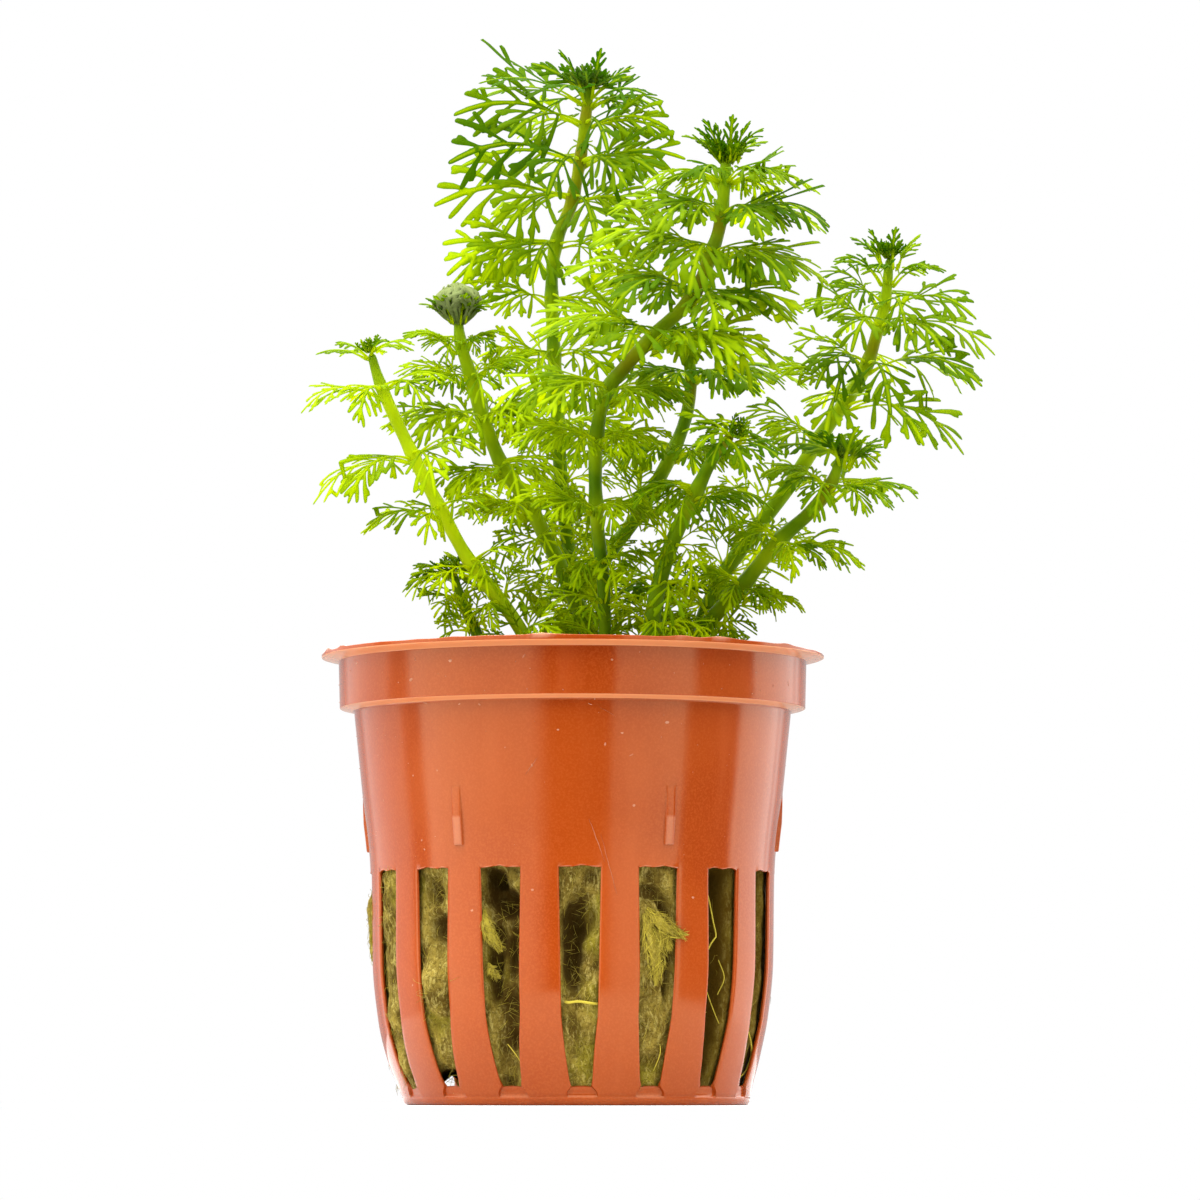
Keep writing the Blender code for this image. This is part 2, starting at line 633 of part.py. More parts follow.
def main():
    clear_scene()
    materials = {
        "pot": make_material("clay plastic", (0.72, 0.17, 0.05), 0.35),
        "wool": make_material("rock wool", (0.24, 0.19, 0.05), 0.95),
        "stem": make_material("stem green", (0.30, 0.46, 0.03), 0.45),
        "leaf": make_material("leaf green", (0.16, 0.38, 0.01), 0.5),
    }
    dice = random.Random(7)
    obstacles = Obstacles()
    build_pot(materials["pot"])
    obstacles.add(*pot_mesh())
    wool = wool_mesh(dice)
    add_object("rock_wool", wool, materials["wool"], smooth_angle=40.0)
    obstacles.add(*wool)
    for name in STEMS:
        stem = stem_mesh(name)
        add_object(f"stem_{name}", stem, materials["stem"], smooth_angle=70.0)
        obstacles.add(*stem)
    grow_whorls(materials, obstacles, dice)


main()
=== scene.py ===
# %% [markdown]
# # A potted dwarf ambulia
#
# This lesson dresses a small water plant that is sold in a slotted net pot. The
# solids of the pot, the rock wool, the ten stems and the leaf whorls come in as a
# fixed frame. They are right in size and place, and plain in form. Each step below
# takes one kind of piece and makes it as it is on the real plant, in millimetres,
# in the same place as its solid.

# %% Load the frame
import json
import math
import random
from itertools import combinations

import bmesh
import bpy
import numpy as np
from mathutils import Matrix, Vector, noise
from mathutils.geometry import delaunay_2d_cdt

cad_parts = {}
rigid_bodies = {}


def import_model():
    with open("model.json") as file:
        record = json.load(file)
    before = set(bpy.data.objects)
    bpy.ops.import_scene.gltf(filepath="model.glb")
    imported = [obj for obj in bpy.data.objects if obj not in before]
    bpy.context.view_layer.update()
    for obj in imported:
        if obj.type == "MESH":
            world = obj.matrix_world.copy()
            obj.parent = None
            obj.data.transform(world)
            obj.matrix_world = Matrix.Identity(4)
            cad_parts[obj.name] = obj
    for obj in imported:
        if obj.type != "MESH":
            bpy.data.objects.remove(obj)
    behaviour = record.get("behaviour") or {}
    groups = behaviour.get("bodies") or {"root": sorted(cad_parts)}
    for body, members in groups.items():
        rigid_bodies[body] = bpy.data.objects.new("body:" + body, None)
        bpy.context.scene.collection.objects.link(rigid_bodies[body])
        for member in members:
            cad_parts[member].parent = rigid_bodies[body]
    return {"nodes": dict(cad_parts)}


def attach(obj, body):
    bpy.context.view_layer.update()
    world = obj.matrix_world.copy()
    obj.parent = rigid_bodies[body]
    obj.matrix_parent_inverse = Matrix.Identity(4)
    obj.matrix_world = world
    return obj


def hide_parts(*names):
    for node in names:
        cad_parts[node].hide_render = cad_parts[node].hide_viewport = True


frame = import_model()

MM = 0.001
# Blender's start-up file may hold a cube, a lamp and a camera of its own
for item in list(bpy.data.objects):
    if item.type != "EMPTY" and item.name not in frame["nodes"]:
        bpy.data.objects.remove(item, do_unlink=True)
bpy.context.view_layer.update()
print("solids in the frame:", len(frame["nodes"]))

# %% [markdown]
# ## The camera
#
# The picture was taken from low down with a long lens: the rim of the pot is seen
# slightly from below, and the base is seen edge-on. A camera 64 cm away, level with
# the base and tipped up by almost five degrees, sees the same. A long lens keeps
# near and far leaves at nearly the same size, as in the picture.

# %% Place the camera
CAMERA_PLACE = Vector((3.0, -640.0, 1.5)) * MM
CAMERA_AIM = Vector((3.0, 0.0, 55.2)) * MM
LENS = 175.7
SENSOR = 36.0


def place_camera():
    lens = bpy.data.cameras.new("long_lens")
    lens.lens = LENS
    lens.sensor_width = SENSOR
    lens.clip_start = 0.01
    camera = bpy.data.objects.new("camera", lens)
    bpy.context.scene.collection.objects.link(camera)
    camera.location = CAMERA_PLACE
    camera.rotation_euler = (CAMERA_AIM - CAMERA_PLACE).to_track_quat("-Z", "Y").to_euler()
    bpy.context.scene.camera = camera
    return camera


camera = place_camera()
print("camera tipped up by", round(math.degrees(camera.rotation_euler.x) - 90.0, 2), "degrees")

# %% [markdown]
# ## The studio
#
# Leaves this thin are mostly seen by the light that comes through them, so the wall
# behind the plant is bright and white. In front stand a wide soft
# box on the left and a weaker one on the right, with dark room between and beside
# them. A shiny round pot mirrors all of these as upright stripes, light and dark,
# and without the dark gaps its colour would look washed out. First comes the table: it
# is round and pale, and ends soon enough for all but the pot's foot to mirror the room.

# %% Lay the table
TABLE_RADIUS = 0.076
TABLE_SIDES = 96
TABLE_COLOUR = (0.62, 0.62, 0.62)


def flat_paint(name, colour, roughness):
    material = bpy.data.materials.new(name)
    material.use_nodes = True
    shader = material.node_tree.nodes["Principled BSDF"]
    shader.inputs["Base Color"].default_value = (*colour, 1.0)
    shader.inputs["Roughness"].default_value = roughness
    shader.inputs["Specular IOR Level"].default_value = 0.1
    return material


def lay_table(radius):
    mesh = bpy.data.meshes.new("table")
    turns = [2.0 * math.pi * side / TABLE_SIDES for side in range(TABLE_SIDES)]
    mesh.from_pydata([(radius * math.cos(turn), radius * math.sin(turn), 0.0) for turn in turns], [],
                     [tuple(range(TABLE_SIDES))])
    table = bpy.data.objects.new("table", mesh)
    bpy.context.scene.collection.objects.link(table)
    mesh.materials.append(flat_paint("white paper", TABLE_COLOUR, 0.9))
    return table


lay_table(TABLE_RADIUS)
print("table in mm across:", round(2.0 * TABLE_RADIUS / MM))

# %% [markdown]
# ## Two helpers for nodes
#
# The room and all materials are small graphs of nodes, which Blender works out again
# at each point that it shows. Most of them need only these two: one that calculates,
# and one that steps smoothly from one value to another.

# %% Helpers for nodes
def calculate(tree, kind, *values):
    """One maths node. Values are numbers or outputs of other nodes."""
    node = tree.nodes.new("ShaderNodeMath")
    node.operation = kind
    for socket, value in zip(node.inputs, values):
        if isinstance(value, (int, float)):
            socket.default_value = value
        else:
            tree.links.new(value, socket)
    return node.outputs["Value"]


def ramp(tree, value, low, high, start=0.0, end=1.0):
    """A smooth step from start where the value is low to end where it is high."""
    node = tree.nodes.new("ShaderNodeMapRange")
    node.interpolation_type = "SMOOTHSTEP"
    node.inputs["From Min"].default_value = low
    node.inputs["From Max"].default_value = high
    node.inputs["To Min"].default_value = start
    node.inputs["To Max"].default_value = end
    tree.links.new(value, node.inputs["Value"])
    return node.outputs["Result"]


print("helpers for nodes: calculate and ramp")

# %% [markdown]
# ## The room
#
# The soft boxes are painted on the room itself, as brightness by direction, so that
# they are smooth and cost nothing to render. The floor behind the plant and the foot
# of the wall are dimmer than the wall above them: the pot's two edges mirror them, and
# white would eat the edges away. The lowest part of the room is dimmer too, because
# the slats mirror it. One real lamp above adds soft shadows.

# %% Build the room
# Degrees round from the front, positive to the right, and how bright the room is there
ROOM = ((-180.0, 3.9), (-153.0, 3.6), (-149.0, 1.4), (-106.0, 1.6), (-99.0, 0.6), (-91.0, 0.6), (-84.0, 3.0),
        (-24.0, 2.0), (-10.0, 0.12), (19.0, 0.12), (23.5, 1.7), (60.0, 2.2), (66.0, 0.25), (97.0, 0.25),
        (103.0, 2.6), (138.0, 2.4), (142.0, 1.3), (147.0, 2.2), (156.0, 3.6), (180.0, 3.9))
BRIGHTEST = 4.0
CEILING = 3.6
FLOOR_BEHIND = 0.60
# How bright the lowest part of the room is, against the walls above it
LOW_ROOM = 0.60
# Where one part of the room turns into the next, by how far a direction points to the
# back or up: the share of its length that is spent on that
BACK_STARTS = (0.80, 0.88)
LOW_ROOM_ENDS = (-0.36, -0.14)
FLOOR_ENDS = (0.07, 0.17)
CEILING_STARTS = (0.34, 0.62)


def paint_room():
    """A room whose brightness depends on the direction that one looks in."""
    world = bpy.data.worlds.new("studio room")
    world.use_nodes = True
    tree = world.node_tree
    direction = tree.nodes.new("ShaderNodeSeparateXYZ")
    tree.links.new(tree.nodes.new("ShaderNodeTexCoord").outputs["Generated"], direction.inputs["Vector"])
    ahead = calculate(tree, "MULTIPLY", direction.outputs["Y"], -1.0)
    turn = calculate(tree, "ARCTAN2", direction.outputs["X"], ahead)
    share = calculate(tree, "MULTIPLY_ADD", turn, 0.5 / math.pi, 0.5)
    ring = tree.nodes.new("ShaderNodeValToRGB")
    ring.color_ramp.interpolation = "EASE"
    stops = ring.color_ramp.elements
    while len(stops) < len(ROOM):
        stops.new(0.5)
    for stop, (degrees, brightness) in zip(stops, ROOM):
        stop.position = 0.5 + degrees / 360.0
        stop.color = (brightness / BRIGHTEST,) * 3 + (1.0,)
    tree.links.new(share, ring.inputs["Fac"])
    walls = calculate(tree, "MULTIPLY", ring.outputs["Color"], BRIGHTEST)
    upward = direction.outputs["Z"]
    behind = ramp(tree, direction.outputs["Y"], *BACK_STARTS)
    below = calculate(tree, "SUBTRACT", 1.0, ramp(tree, upward, *FLOOR_ENDS))
    floor = calculate(tree, "MULTIPLY", behind, below)
    drop = calculate(tree, "SUBTRACT", FLOOR_BEHIND, walls)
    sides = calculate(tree, "MULTIPLY_ADD", drop, floor, walls)
    low_down = ramp(tree, upward, *LOW_ROOM_ENDS)
    sides = calculate(tree, "MULTIPLY", sides,
                      calculate(tree, "MULTIPLY_ADD", low_down, 1.0 - LOW_ROOM, LOW_ROOM))
    gap = calculate(tree, "SUBTRACT", CEILING, sides)
    light = calculate(tree, "MULTIPLY_ADD", gap, ramp(tree, upward, *CEILING_STARTS), sides)
    lit = tree.nodes["Background"]
    tree.links.new(light, lit.inputs["Strength"])
    seen = tree.nodes.new("ShaderNodeBackground")
    choice = tree.nodes.new("ShaderNodeMixShader")
    tree.links.new(tree.nodes.new("ShaderNodeLightPath").outputs["Is Camera Ray"], choice.inputs["Fac"])
    tree.links.new(lit.outputs["Background"], choice.inputs[1])
    tree.links.new(seen.outputs["Background"], choice.inputs[2])
    tree.links.new(choice.outputs["Shader"], tree.nodes["World Output"].inputs["Surface"])
    for background in (lit, seen):
        background.inputs["Color"].default_value = (1.0, 1.0, 1.0, 1.0)
    bpy.context.scene.world = world


def hang_lamp(name, place, aim, size, watts):
    """A square soft box that faces the plant."""
    lamp = bpy.data.lights.new(name, "AREA")
    lamp.size = size * MM
    lamp.energy = watts
    item = bpy.data.objects.new(name, lamp)
    item.location = Vector(place) * MM
    item.rotation_euler = (Vector(aim) * MM - item.location).to_track_quat("-Z", "Y").to_euler()
    item.visible_camera = False
    bpy.context.scene.collection.objects.link(item)
    return item


paint_room()
top_box = hang_lamp("top box", (-120, -60, 560), (0, 0, 60), 260, 3.2)
bpy.context.scene.view_settings.view_transform = "Standard"
bpy.context.scene.view_settings.look = "None"
print("room:", len(ROOM), "brightness stops, lamp:", top_box.name)

# %% [markdown]
# ## From points to a piece
#
# Every piece below is worked out as points in millimetres and faces that join them.
# One helper turns them into an object, gives it its material, and lets it ride on
# the plant's one body. Numbers that a material needs at each point, such as the age
# of a leaf, are stored on the mesh as attributes. Two more helpers join rows of points
# by faces and put small meshes together.

# %% Make a piece
def make_piece(name, points, faces, material, slot, stands_for=(), sharp=60.0, outward=False, **numbers):
    """An object from points in mm. numbers are one value for each point, by name.
    outward turns the faces of a closed skin to face out."""
    mesh = bpy.data.meshes.new(name)
    mesh.from_pydata(np.asarray(points) * MM, [], faces)
    mesh.validate()
    if outward:
        shape = bmesh.new()
        shape.from_mesh(mesh)
        bmesh.ops.recalc_face_normals(shape, faces=shape.faces)
        shape.to_mesh(mesh)
        shape.free()
    mesh.shade_smooth()
    mesh.set_sharp_from_angle(angle=math.radians(sharp))
    for title, values in numbers.items():
        layer = mesh.attributes.new(title, "FLOAT", "POINT")
        layer.data.foreach_set("value", np.asarray(values, np.float32))
    mesh.materials.append(material)
    item = bpy.data.objects.new(name, mesh)
    bpy.context.scene.collection.objects.link(item)
    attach(item, "root")
    if stands_for:
        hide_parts(*stands_for)
    return item


def grid_faces(rows, wide, closed=True):
    """Faces between rows of points. A closed grid goes all the way round, and has one
    more face over each end."""
    faces = [(row * wide + step, row * wide + (step + 1) % wide,
              (row + 1) * wide + (step + 1) % wide, (row + 1) * wide + step)
             for row in range(rows - 1) for step in range(wide if closed else wide - 1)]
    if closed:
        faces.append(tuple(reversed(range(wide))))
        faces.append(tuple((rows - 1) * wide + step for step in range(wide)))
    return faces


def put_together(parts):
    """Points and faces of several small meshes, one after another."""
    faces, start = [], 0
    for points, part_faces in parts:
        faces += [tuple(index + start for index in face) for face in part_faces]
        start += len(points)
    return np.vstack([points for points, _ in parts]), faces


print("faces of a closed grid with 3 rows of 4 points:", len(grid_faces(3, 4)))

# %% [markdown]
# ## The net pot: its profile
#
# The pot is moulded from thin plastic in one piece. Its form is a turned one: a line
# of radii and heights that is carried round the middle. Straight lines would meet in
# knife edges, which no mould gives, so every corner gets a small arc. Light catches
# on these arcs, and they are what makes the rim and the step look real.

# %% Profile of the pot
WALL = 1.0
SLOT_WALL = 0.42
SLOT_FOOT = 2.1
SLOT_HEAD = 25.2
WALL_HEIGHTS = (0.0, 2.1, 5.0, 9.5, 15.5, 25.2, 34.0, 43.4)
WALL_RADII = (18.72, 19.33, 20.3, 21.3, 21.9, 22.05, 22.98, 23.96)
# Corners above the wall as radius, height and how far back the arc starts
UPPER_OUTSIDE = ((23.60, 40.00, 0.0), (23.88, 42.82, 0.20), (25.47, 43.20, 0.08), (25.60, 48.32, 0.12),
                 (27.50, 48.76, 0.07), (27.50, 49.00, 0.10), (26.00, 49.00, 0.0))
UPPER_INSIDE = ((26.00, 49.00, 0.0), (24.62, 49.00, 0.30), (24.50, 44.00, 0.30), (22.95, 43.62, 0.40),
                (22.20, 36.00, 0.0))


def unit(vector):
    return vector / np.linalg.norm(vector)


def smooth_curve(heights, radii):
    """A function that passes through the points and never overshoots them."""
    heights, radii = np.array(heights), np.array(radii)
    gaps = np.diff(heights)
    rises = np.diff(radii) / gaps
    slopes = np.concatenate([rises[:1], 2.0 / (1.0 / rises[1:] + 1.0 / rises[:-1]), rises[-1:]])

    def radius(height):
        height = np.clip(height, heights[0], heights[-1])
        cell = np.clip(np.searchsorted(heights, height, side="right") - 1, 0, len(gaps) - 1)
        gap = gaps[cell]
        share = (height - heights[cell]) / gap
        back = 1.0 - share
        ends = (1.0 + 2.0 * share) * back ** 2 * radii[cell] + share ** 2 * (3.0 - 2.0 * share) * radii[cell + 1]
        return ends + gap * share * back * (back * slopes[cell] - share * slopes[cell + 1])

    return radius


wall_radius = smooth_curve(WALL_HEIGHTS, WALL_RADII)


def round_corners(corners, steps=4):
    """Points along the line through the corners, with an arc at each corner."""
    line = []
    for before, corner, after in zip(corners, corners[1:], corners[2:]):
        here = np.array(corner[:2])
        start = here + unit(np.array(before[:2]) - here) * corner[2]
        end = here + unit(np.array(after[:2]) - here) * corner[2]
        for share in np.linspace(0.0, 1.0, steps + 1):
            line.append((1 - share) ** 2 * start + 2 * share * (1 - share) * here + share ** 2 * end)
    return line


def fill_runs(line, longest):
    """The same line with points added on every run that is longer than this."""
    filled = [line[0]]
    for start, end in zip(line, line[1:]):
        count = max(1, math.ceil(np.linalg.norm(end - start) / longest))
        filled += [start + (end - start) * step / count for step in range(1, count + 1)]
    return filled


collar_outside = fill_runs(round_corners(UPPER_OUTSIDE), 1.0)
collar_inside = fill_runs(round_corners(UPPER_INSIDE), 1.4)
print("rows of the collar and rim:", len(collar_outside), "outside,", len(collar_inside), "inside")
print("wall radius at the slots' middle:", round(float(wall_radius(13.0)), 2), "mm")

# %% [markdown]
# ## Slots in the wall
#
# Sixteen slots let roots and water through. A boolean cut would leave long thin
# triangles, so the skin is laid out as rows and columns that already follow the
# edges of the slots: seven columns across each slot, fourteen spaces across each
# slat. Faces inside a slot are left out, and the gap between the outer and the inner
# skin is closed. Close to a slot's edge the skin turns in on a small arc.

# %% Columns of the pot
SLOT_COUNT = 16
FIRST_SLOT = 2.3
SLOT_TURN = math.radians(FIRST_SLOT) - math.pi / 2.0
PERIOD = 2.0 * math.pi / SLOT_COUNT
SLOT_SPACES = 6
SLAT_SPACES = 14
SLOT_EDGE_ROUND = 0.17
NEAR_EDGE = 0.06
FLARE_HEIGHT = 0.9
FLARE_WIDTH = 0.10
LEDGE_SPREAD = 0.45
# Inside this radius the columns simply run straight to the middle of the floor
LEAST_RADIUS = 17.5


def slot_half_width(height):
    """Half the width of a slot. Its sides draw in at its foot, and the hollow under
    it is a little wider."""
    half = np.interp(height, (SLOT_FOOT, 9.5, SLOT_HEAD), (1.15, 1.95, 2.25))
    flare = np.clip(1.0 - abs(height - SLOT_FOOT) / FLARE_HEIGHT, 0.0, 1.0)
    spread = np.clip((SLOT_FOOT - height) / 0.7, 0.0, 1.0)
    return half - FLARE_WIDTH * flare ** 2 + LEDGE_SPREAD * spread


def columns(radius, height):
    """Angles of all columns of a row, and how far each is from a slot, in mm."""
    radius = max(radius, LEAST_RADIUS)
    half = slot_half_width(height) / radius
    near, edge = NEAR_EDGE / radius, SLOT_EDGE_ROUND / radius
    across = np.linspace(-half, half, SLOT_SPACES + 1)
    slat = np.concatenate([[half + near], np.linspace(half + edge, PERIOD - half - edge, SLAT_SPACES - 3),
                           [PERIOD - half - near]])
    aside = np.minimum(slat - half, PERIOD - half - slat) * radius
    one = np.concatenate([across, slat])
    away = np.concatenate([np.zeros(len(across)), aside])
    turns = SLOT_TURN + PERIOD * np.arange(SLOT_COUNT)
    return (turns[:, None] + one).ravel(), np.tile(away, SLOT_COUNT)


COLUMN_COUNT = SLOT_COUNT * (SLOT_SPACES + SLAT_SPACES)
share_across_slot = np.tile(np.concatenate([np.linspace(-1.0, 1.0, SLOT_SPACES + 1),
                                            np.full(SLAT_SPACES - 1, 2.0)]), SLOT_COUNT)
in_slot = np.abs(share_across_slot) <= 1.0
print("columns:", COLUMN_COUNT, "of them on slots:", int(in_slot.sum()))

# %% [markdown]
# ## Small things that the mould left
#
# The pot is a cheap one, and that shows. The rim's top edge is wavy, with a few
# humps of flash. The heads of the slots are uneven too, and a hairline of flash
# stands out from them. Under each slot the wall is a little hollow, with an arched
# upper edge. All of these are small moves of the rows, worked out for each point.

# %% Rows of the pot
# Humps of flash on the rim: degrees from the front, width in degrees, height in mm
RIM_HUMPS = ((-75.1, 2.2, 0.34), (-64.7, 1.6, 0.24), (-48.0, 3.0, 0.08), (-27.3, 3.4, 0.10), (-6.7, 2.6, 0.20),
             (10.0, 4.0, 0.07), (25.5, 2.4, 0.20), (34.8, 3.4, 0.22), (57.0, 2.5, 0.12), (96.0, 3.0, 0.18),
             (128.0, 2.0, 0.22), (163.0, 4.0, 0.14), (-101.0, 2.6, 0.16), (-140.0, 3.2, 0.20))
# Rows above this height are on the rim's upper face. Its waves start at one radius,
# and outside another the flange's edge runs in and out a little
RIM_FACE = 48.88
WAVE_STARTS = 25.2
FLANGE_EDGE = 26.5
# The hollow under each slot: its foot's height, its depth, and how far its top arches
LEDGE_FOOT = 0.90
LEDGE_DEPTH = 0.32
ARCH = 0.08
# A fine groove runs round the pot here
GROOVE_HEIGHT = 0.95
GROOVE_DEPTH = 0.07
# The foot has warped a little to the right as it cooled
FOOT_LEAN = 0.5
LEAN_HEIGHT = 8.0


def from_front(angle):
    """Degrees round from the front of the pot, positive to the right."""
    return (np.degrees(angle) + 90.0 + 180.0) % 360.0 - 180.0


def rim_wave(angle):
    turn = from_front(angle)
    wave = 0.12 + 0.16 * np.exp(-(turn / 48.0) ** 2) + 0.035 * np.sin(7.0 * angle + 1.0)
    wave = wave + 0.025 * np.sin(19.0 * angle) + 0.015 * np.sin(43.0 * angle + 2.0)
    for place, width, height in RIM_HUMPS:
        wave = wave + height * np.exp(-((turn - place) / width) ** 2)
    return wave


def skin_row(radius, height, side):
    """One row of the pot's skin. side is 1 outside and -1 inside."""
    angles, away = columns(radius, min(float(height), SLOT_HEAD))
    beyond = max(0.0, SLOT_FOOT - height, height - SLOT_HEAD)
    distance = np.clip(np.hypot(away, beyond) / SLOT_EDGE_ROUND, 0.0, 1.0)
    radii = radius - side * SLOT_EDGE_ROUND * (1.0 - np.sqrt(1.0 - (1.0 - distance) ** 2))
    heights = np.full(COLUMN_COUNT, float(height))
    near_head = math.exp(-((height - SLOT_HEAD) / 0.8) ** 2)
    near_foot = math.exp(-((height - SLOT_FOOT) / 0.8) ** 2)
    ragged = 0.055 * np.sin(angles * 61.0) + 0.045 * np.sin(angles * 147.0 + 1.0)
    heights += in_slot * near_head * (ragged - 0.12 * share_across_slot ** 4)
    heights += in_slot * near_foot * (-ARCH * share_across_slot ** 2)
    if side > 0:
        lip = np.clip(1.0 - abs(height - SLOT_HEAD) / 0.12, 0.0, 1.0)
        radii += in_slot * lip * (0.10 + 0.05 * np.sin(angles * 97.0))
        ledge = np.clip((height - LEDGE_FOOT) / 0.25, 0.0, 1.0) * (height <= SLOT_FOOT)
        radii -= in_slot * ledge * LEDGE_DEPTH
        radii -= GROOVE_DEPTH * math.exp(-((height - GROOVE_HEIGHT) / 0.12) ** 2)
    if height > RIM_FACE:
        heights += rim_wave(angles) * np.clip((radius - WAVE_STARTS) / 1.5, 0.0, 1.0)
    if radius > FLANGE_EDGE:
        radii += 0.04 * np.sin(5.0 * angles) + 0.03 * np.sin(23.0 * angles + 1.0)
    lean = FOOT_LEAN * max(0.0, 1.0 - height / LEAN_HEIGHT) ** 2
    return np.stack([radii * np.cos(angles) + lean, radii * np.sin(angles), heights], axis=1)


slot_rows = np.linspace(SLOT_FOOT, SLOT_HEAD, 33)
foot_rows = [0.55, 0.72, 0.83, 0.95, 1.07, 1.3, 1.6, SLOT_FOOT - SLOT_EDGE_ROUND, SLOT_FOOT - NEAR_EDGE]
head_rows = [SLOT_HEAD + NEAR_EDGE, SLOT_HEAD + SLOT_EDGE_ROUND, *np.linspace(25.8, 42.3, 17)]
# Radii of the rows under the floor and on it, and the arc round the foot
UNDER_ROWS = (0.5, 6.0, 10.5, 15.0, 18.2)
FLOOR_ROWS = (17.0, 15.0, 10.5, 6.0, 0.5)
FLOOR_TOP = 1.2
BASE_ROUND = ((18.45, 0.02), (18.62, 0.09), (18.74, 0.22), (18.83, 0.38))


def wall_rows(heights, thickness=0.0):
    """Radius and height of rows on the wall, or that deep inside it."""
    return [(float(wall_radius(height)) - thickness, height) for height in heights]


outside = [(radius, 0.0) for radius in UNDER_ROWS] + list(BASE_ROUND)
outside += wall_rows(foot_rows)
first_outside = len(outside)
outside += wall_rows(slot_rows) + wall_rows(head_rows)
outside += [tuple(point) for point in collar_outside]
inside = [tuple(point) for point in collar_inside]
inside += wall_rows((40.0, 36.0, 32.0), WALL) + wall_rows((28.0,), 0.9) + wall_rows((26.4,), 0.7)
inside += wall_rows(head_rows[1::-1], SLOT_WALL)
first_inside = len(outside) + len(inside)
inside += wall_rows(slot_rows[::-1], SLOT_WALL)
inside += wall_rows((1.9,), 0.75) + [(18.25, 1.5), (17.8, 1.25)]
inside += [(radius, FLOOR_TOP) for radius in FLOOR_ROWS]
pot_rows = [skin_row(radius, height, 1) for radius, height in outside]
pot_rows += [skin_row(radius, height, -1) for radius, height in inside]
print("rows of the pot:", len(outside), "outside,", len(inside), "inside")

# %% [markdown]
# ## Closing the skin
#
# Each slot has two sides, a head and a foot to close, and each drain in the floor
# has four walls. Both are holes in the grid with a matching hole in the other skin,
# so one helper does them all.

# %% Faces of the pot
def pot_faces():
    """All faces of the skin, and those that close its slots and its drains."""
    faces = []
    count = COLUMN_COUNT
    one = SLOT_SPACES + SLAT_SPACES

    def between(row, other, column, following):
        return (row * count + column, row * count + following,
                other * count + following, other * count + column)

    slot_columns = [period * one + step for period in range(SLOT_COUNT) for step in range(SLOT_SPACES)]
    drain_columns = [period * one + step for period in range(0, SLOT_COUNT, 2) for step in range(SLOT_SPACES, one)]
    last = len(pot_rows) - 1
    spans = len(slot_rows) - 1
    slots = {first_outside + step: first_inside + spans - step for step in range(spans + 1)}
    drains = {1: last - 1, 2: last - 2, 3: last - 3}
    for chosen, pairs in ((slot_columns, slots), (drain_columns, drains)):
        chosen = set(chosen)
        lows = [row for row in pairs if row + 1 in pairs]
        for column in sorted(chosen):
            following = (column + 1) % count
            for row in (min(pairs), max(pairs)):
                faces.append(between(row, pairs[row], column, following))
            for edge, beside in ((column, (column - 1) % count), (following, following)):
                if beside in chosen:
                    continue
                for row in lows:
                    other, above = pairs[row], pairs[row + 1]
                    faces.append((row * count + edge, (row + 1) * count + edge,
                                  above * count + edge, other * count + edge))
    open_rows = {row: set(slot_columns) for row in slots if row + 1 in slots}
    open_rows.update({slots[row + 1]: set(slot_columns) for row in slots if row + 1 in slots})
    open_rows.update({row: set(drain_columns) for row in (1, 2, last - 3, last - 2)})
    for row in range(last):
        skipped = open_rows.get(row, ())
        for column in range(count):
            if column not in skipped:
                faces.append(between(row, row + 1, column, (column + 1) % count))
    middle = len(pot_rows) * count
    for column in range(count):
        following = (column + 1) % count
        faces.append((middle, following, column))
        faces.append((middle + 1, last * count + column, last * count + following))
    return faces


pot_points = np.vstack(pot_rows + [np.array([[0.0, 0.0, 0.0], [0.0, 0.0, FLOOR_TOP]])])
pot_skin = pot_faces()
print("pot points:", len(pot_points), "faces:", len(pot_skin))

# %% [markdown]
# ## Lugs, flakes and scratches
#
# Six wedges on the wall stop stacked pots from jamming. Each is a small patch of
# grid that stands out of the wall and sinks into it at its rim. The pale flakes and
# two scratches are tiny raised scraps of the same plastic, worked up white.

# %% Lugs and marks on the pot
LUG_TURNS = [27.5 + 60.0 * step for step in range(6)]
# Height and how far the lug stands out there, from its top to under its foot
LUG_LINE = ((34.4, -0.10), (33.8, 0.0), (32.9, 0.10), (31.9, 0.20), (31.0, 0.28), (30.7, 0.31), (30.4, 0.32),
            (29.4, 0.32), (28.3, 0.32), (27.8, 0.32), (27.62, 0.30), (27.56, 0.26), (27.54, 0.13), (27.54, -0.12))
# Below this height the lug's face is painted paler
LUG_PAD = 30.6
# The pot's radius where the lugs stand, and about where flakes and scratches lie
LUG_RADIUS = 22.9
FLAKE_RADIUS = 23.0
SCRATCH_RADIUS = 22.5
# Places across a lug in mm, and how much of its height it has there
LUG_SECTION = ((-0.72, 0.0), (-0.62, 0.16), (-0.56, 0.55), (-0.53, 0.86), (-0.46, 0.99), (-0.2, 1.0), (0.2, 1.0),
               (0.46, 0.99), (0.53, 0.86), (0.56, 0.55), (0.62, 0.16), (0.72, 0.0))
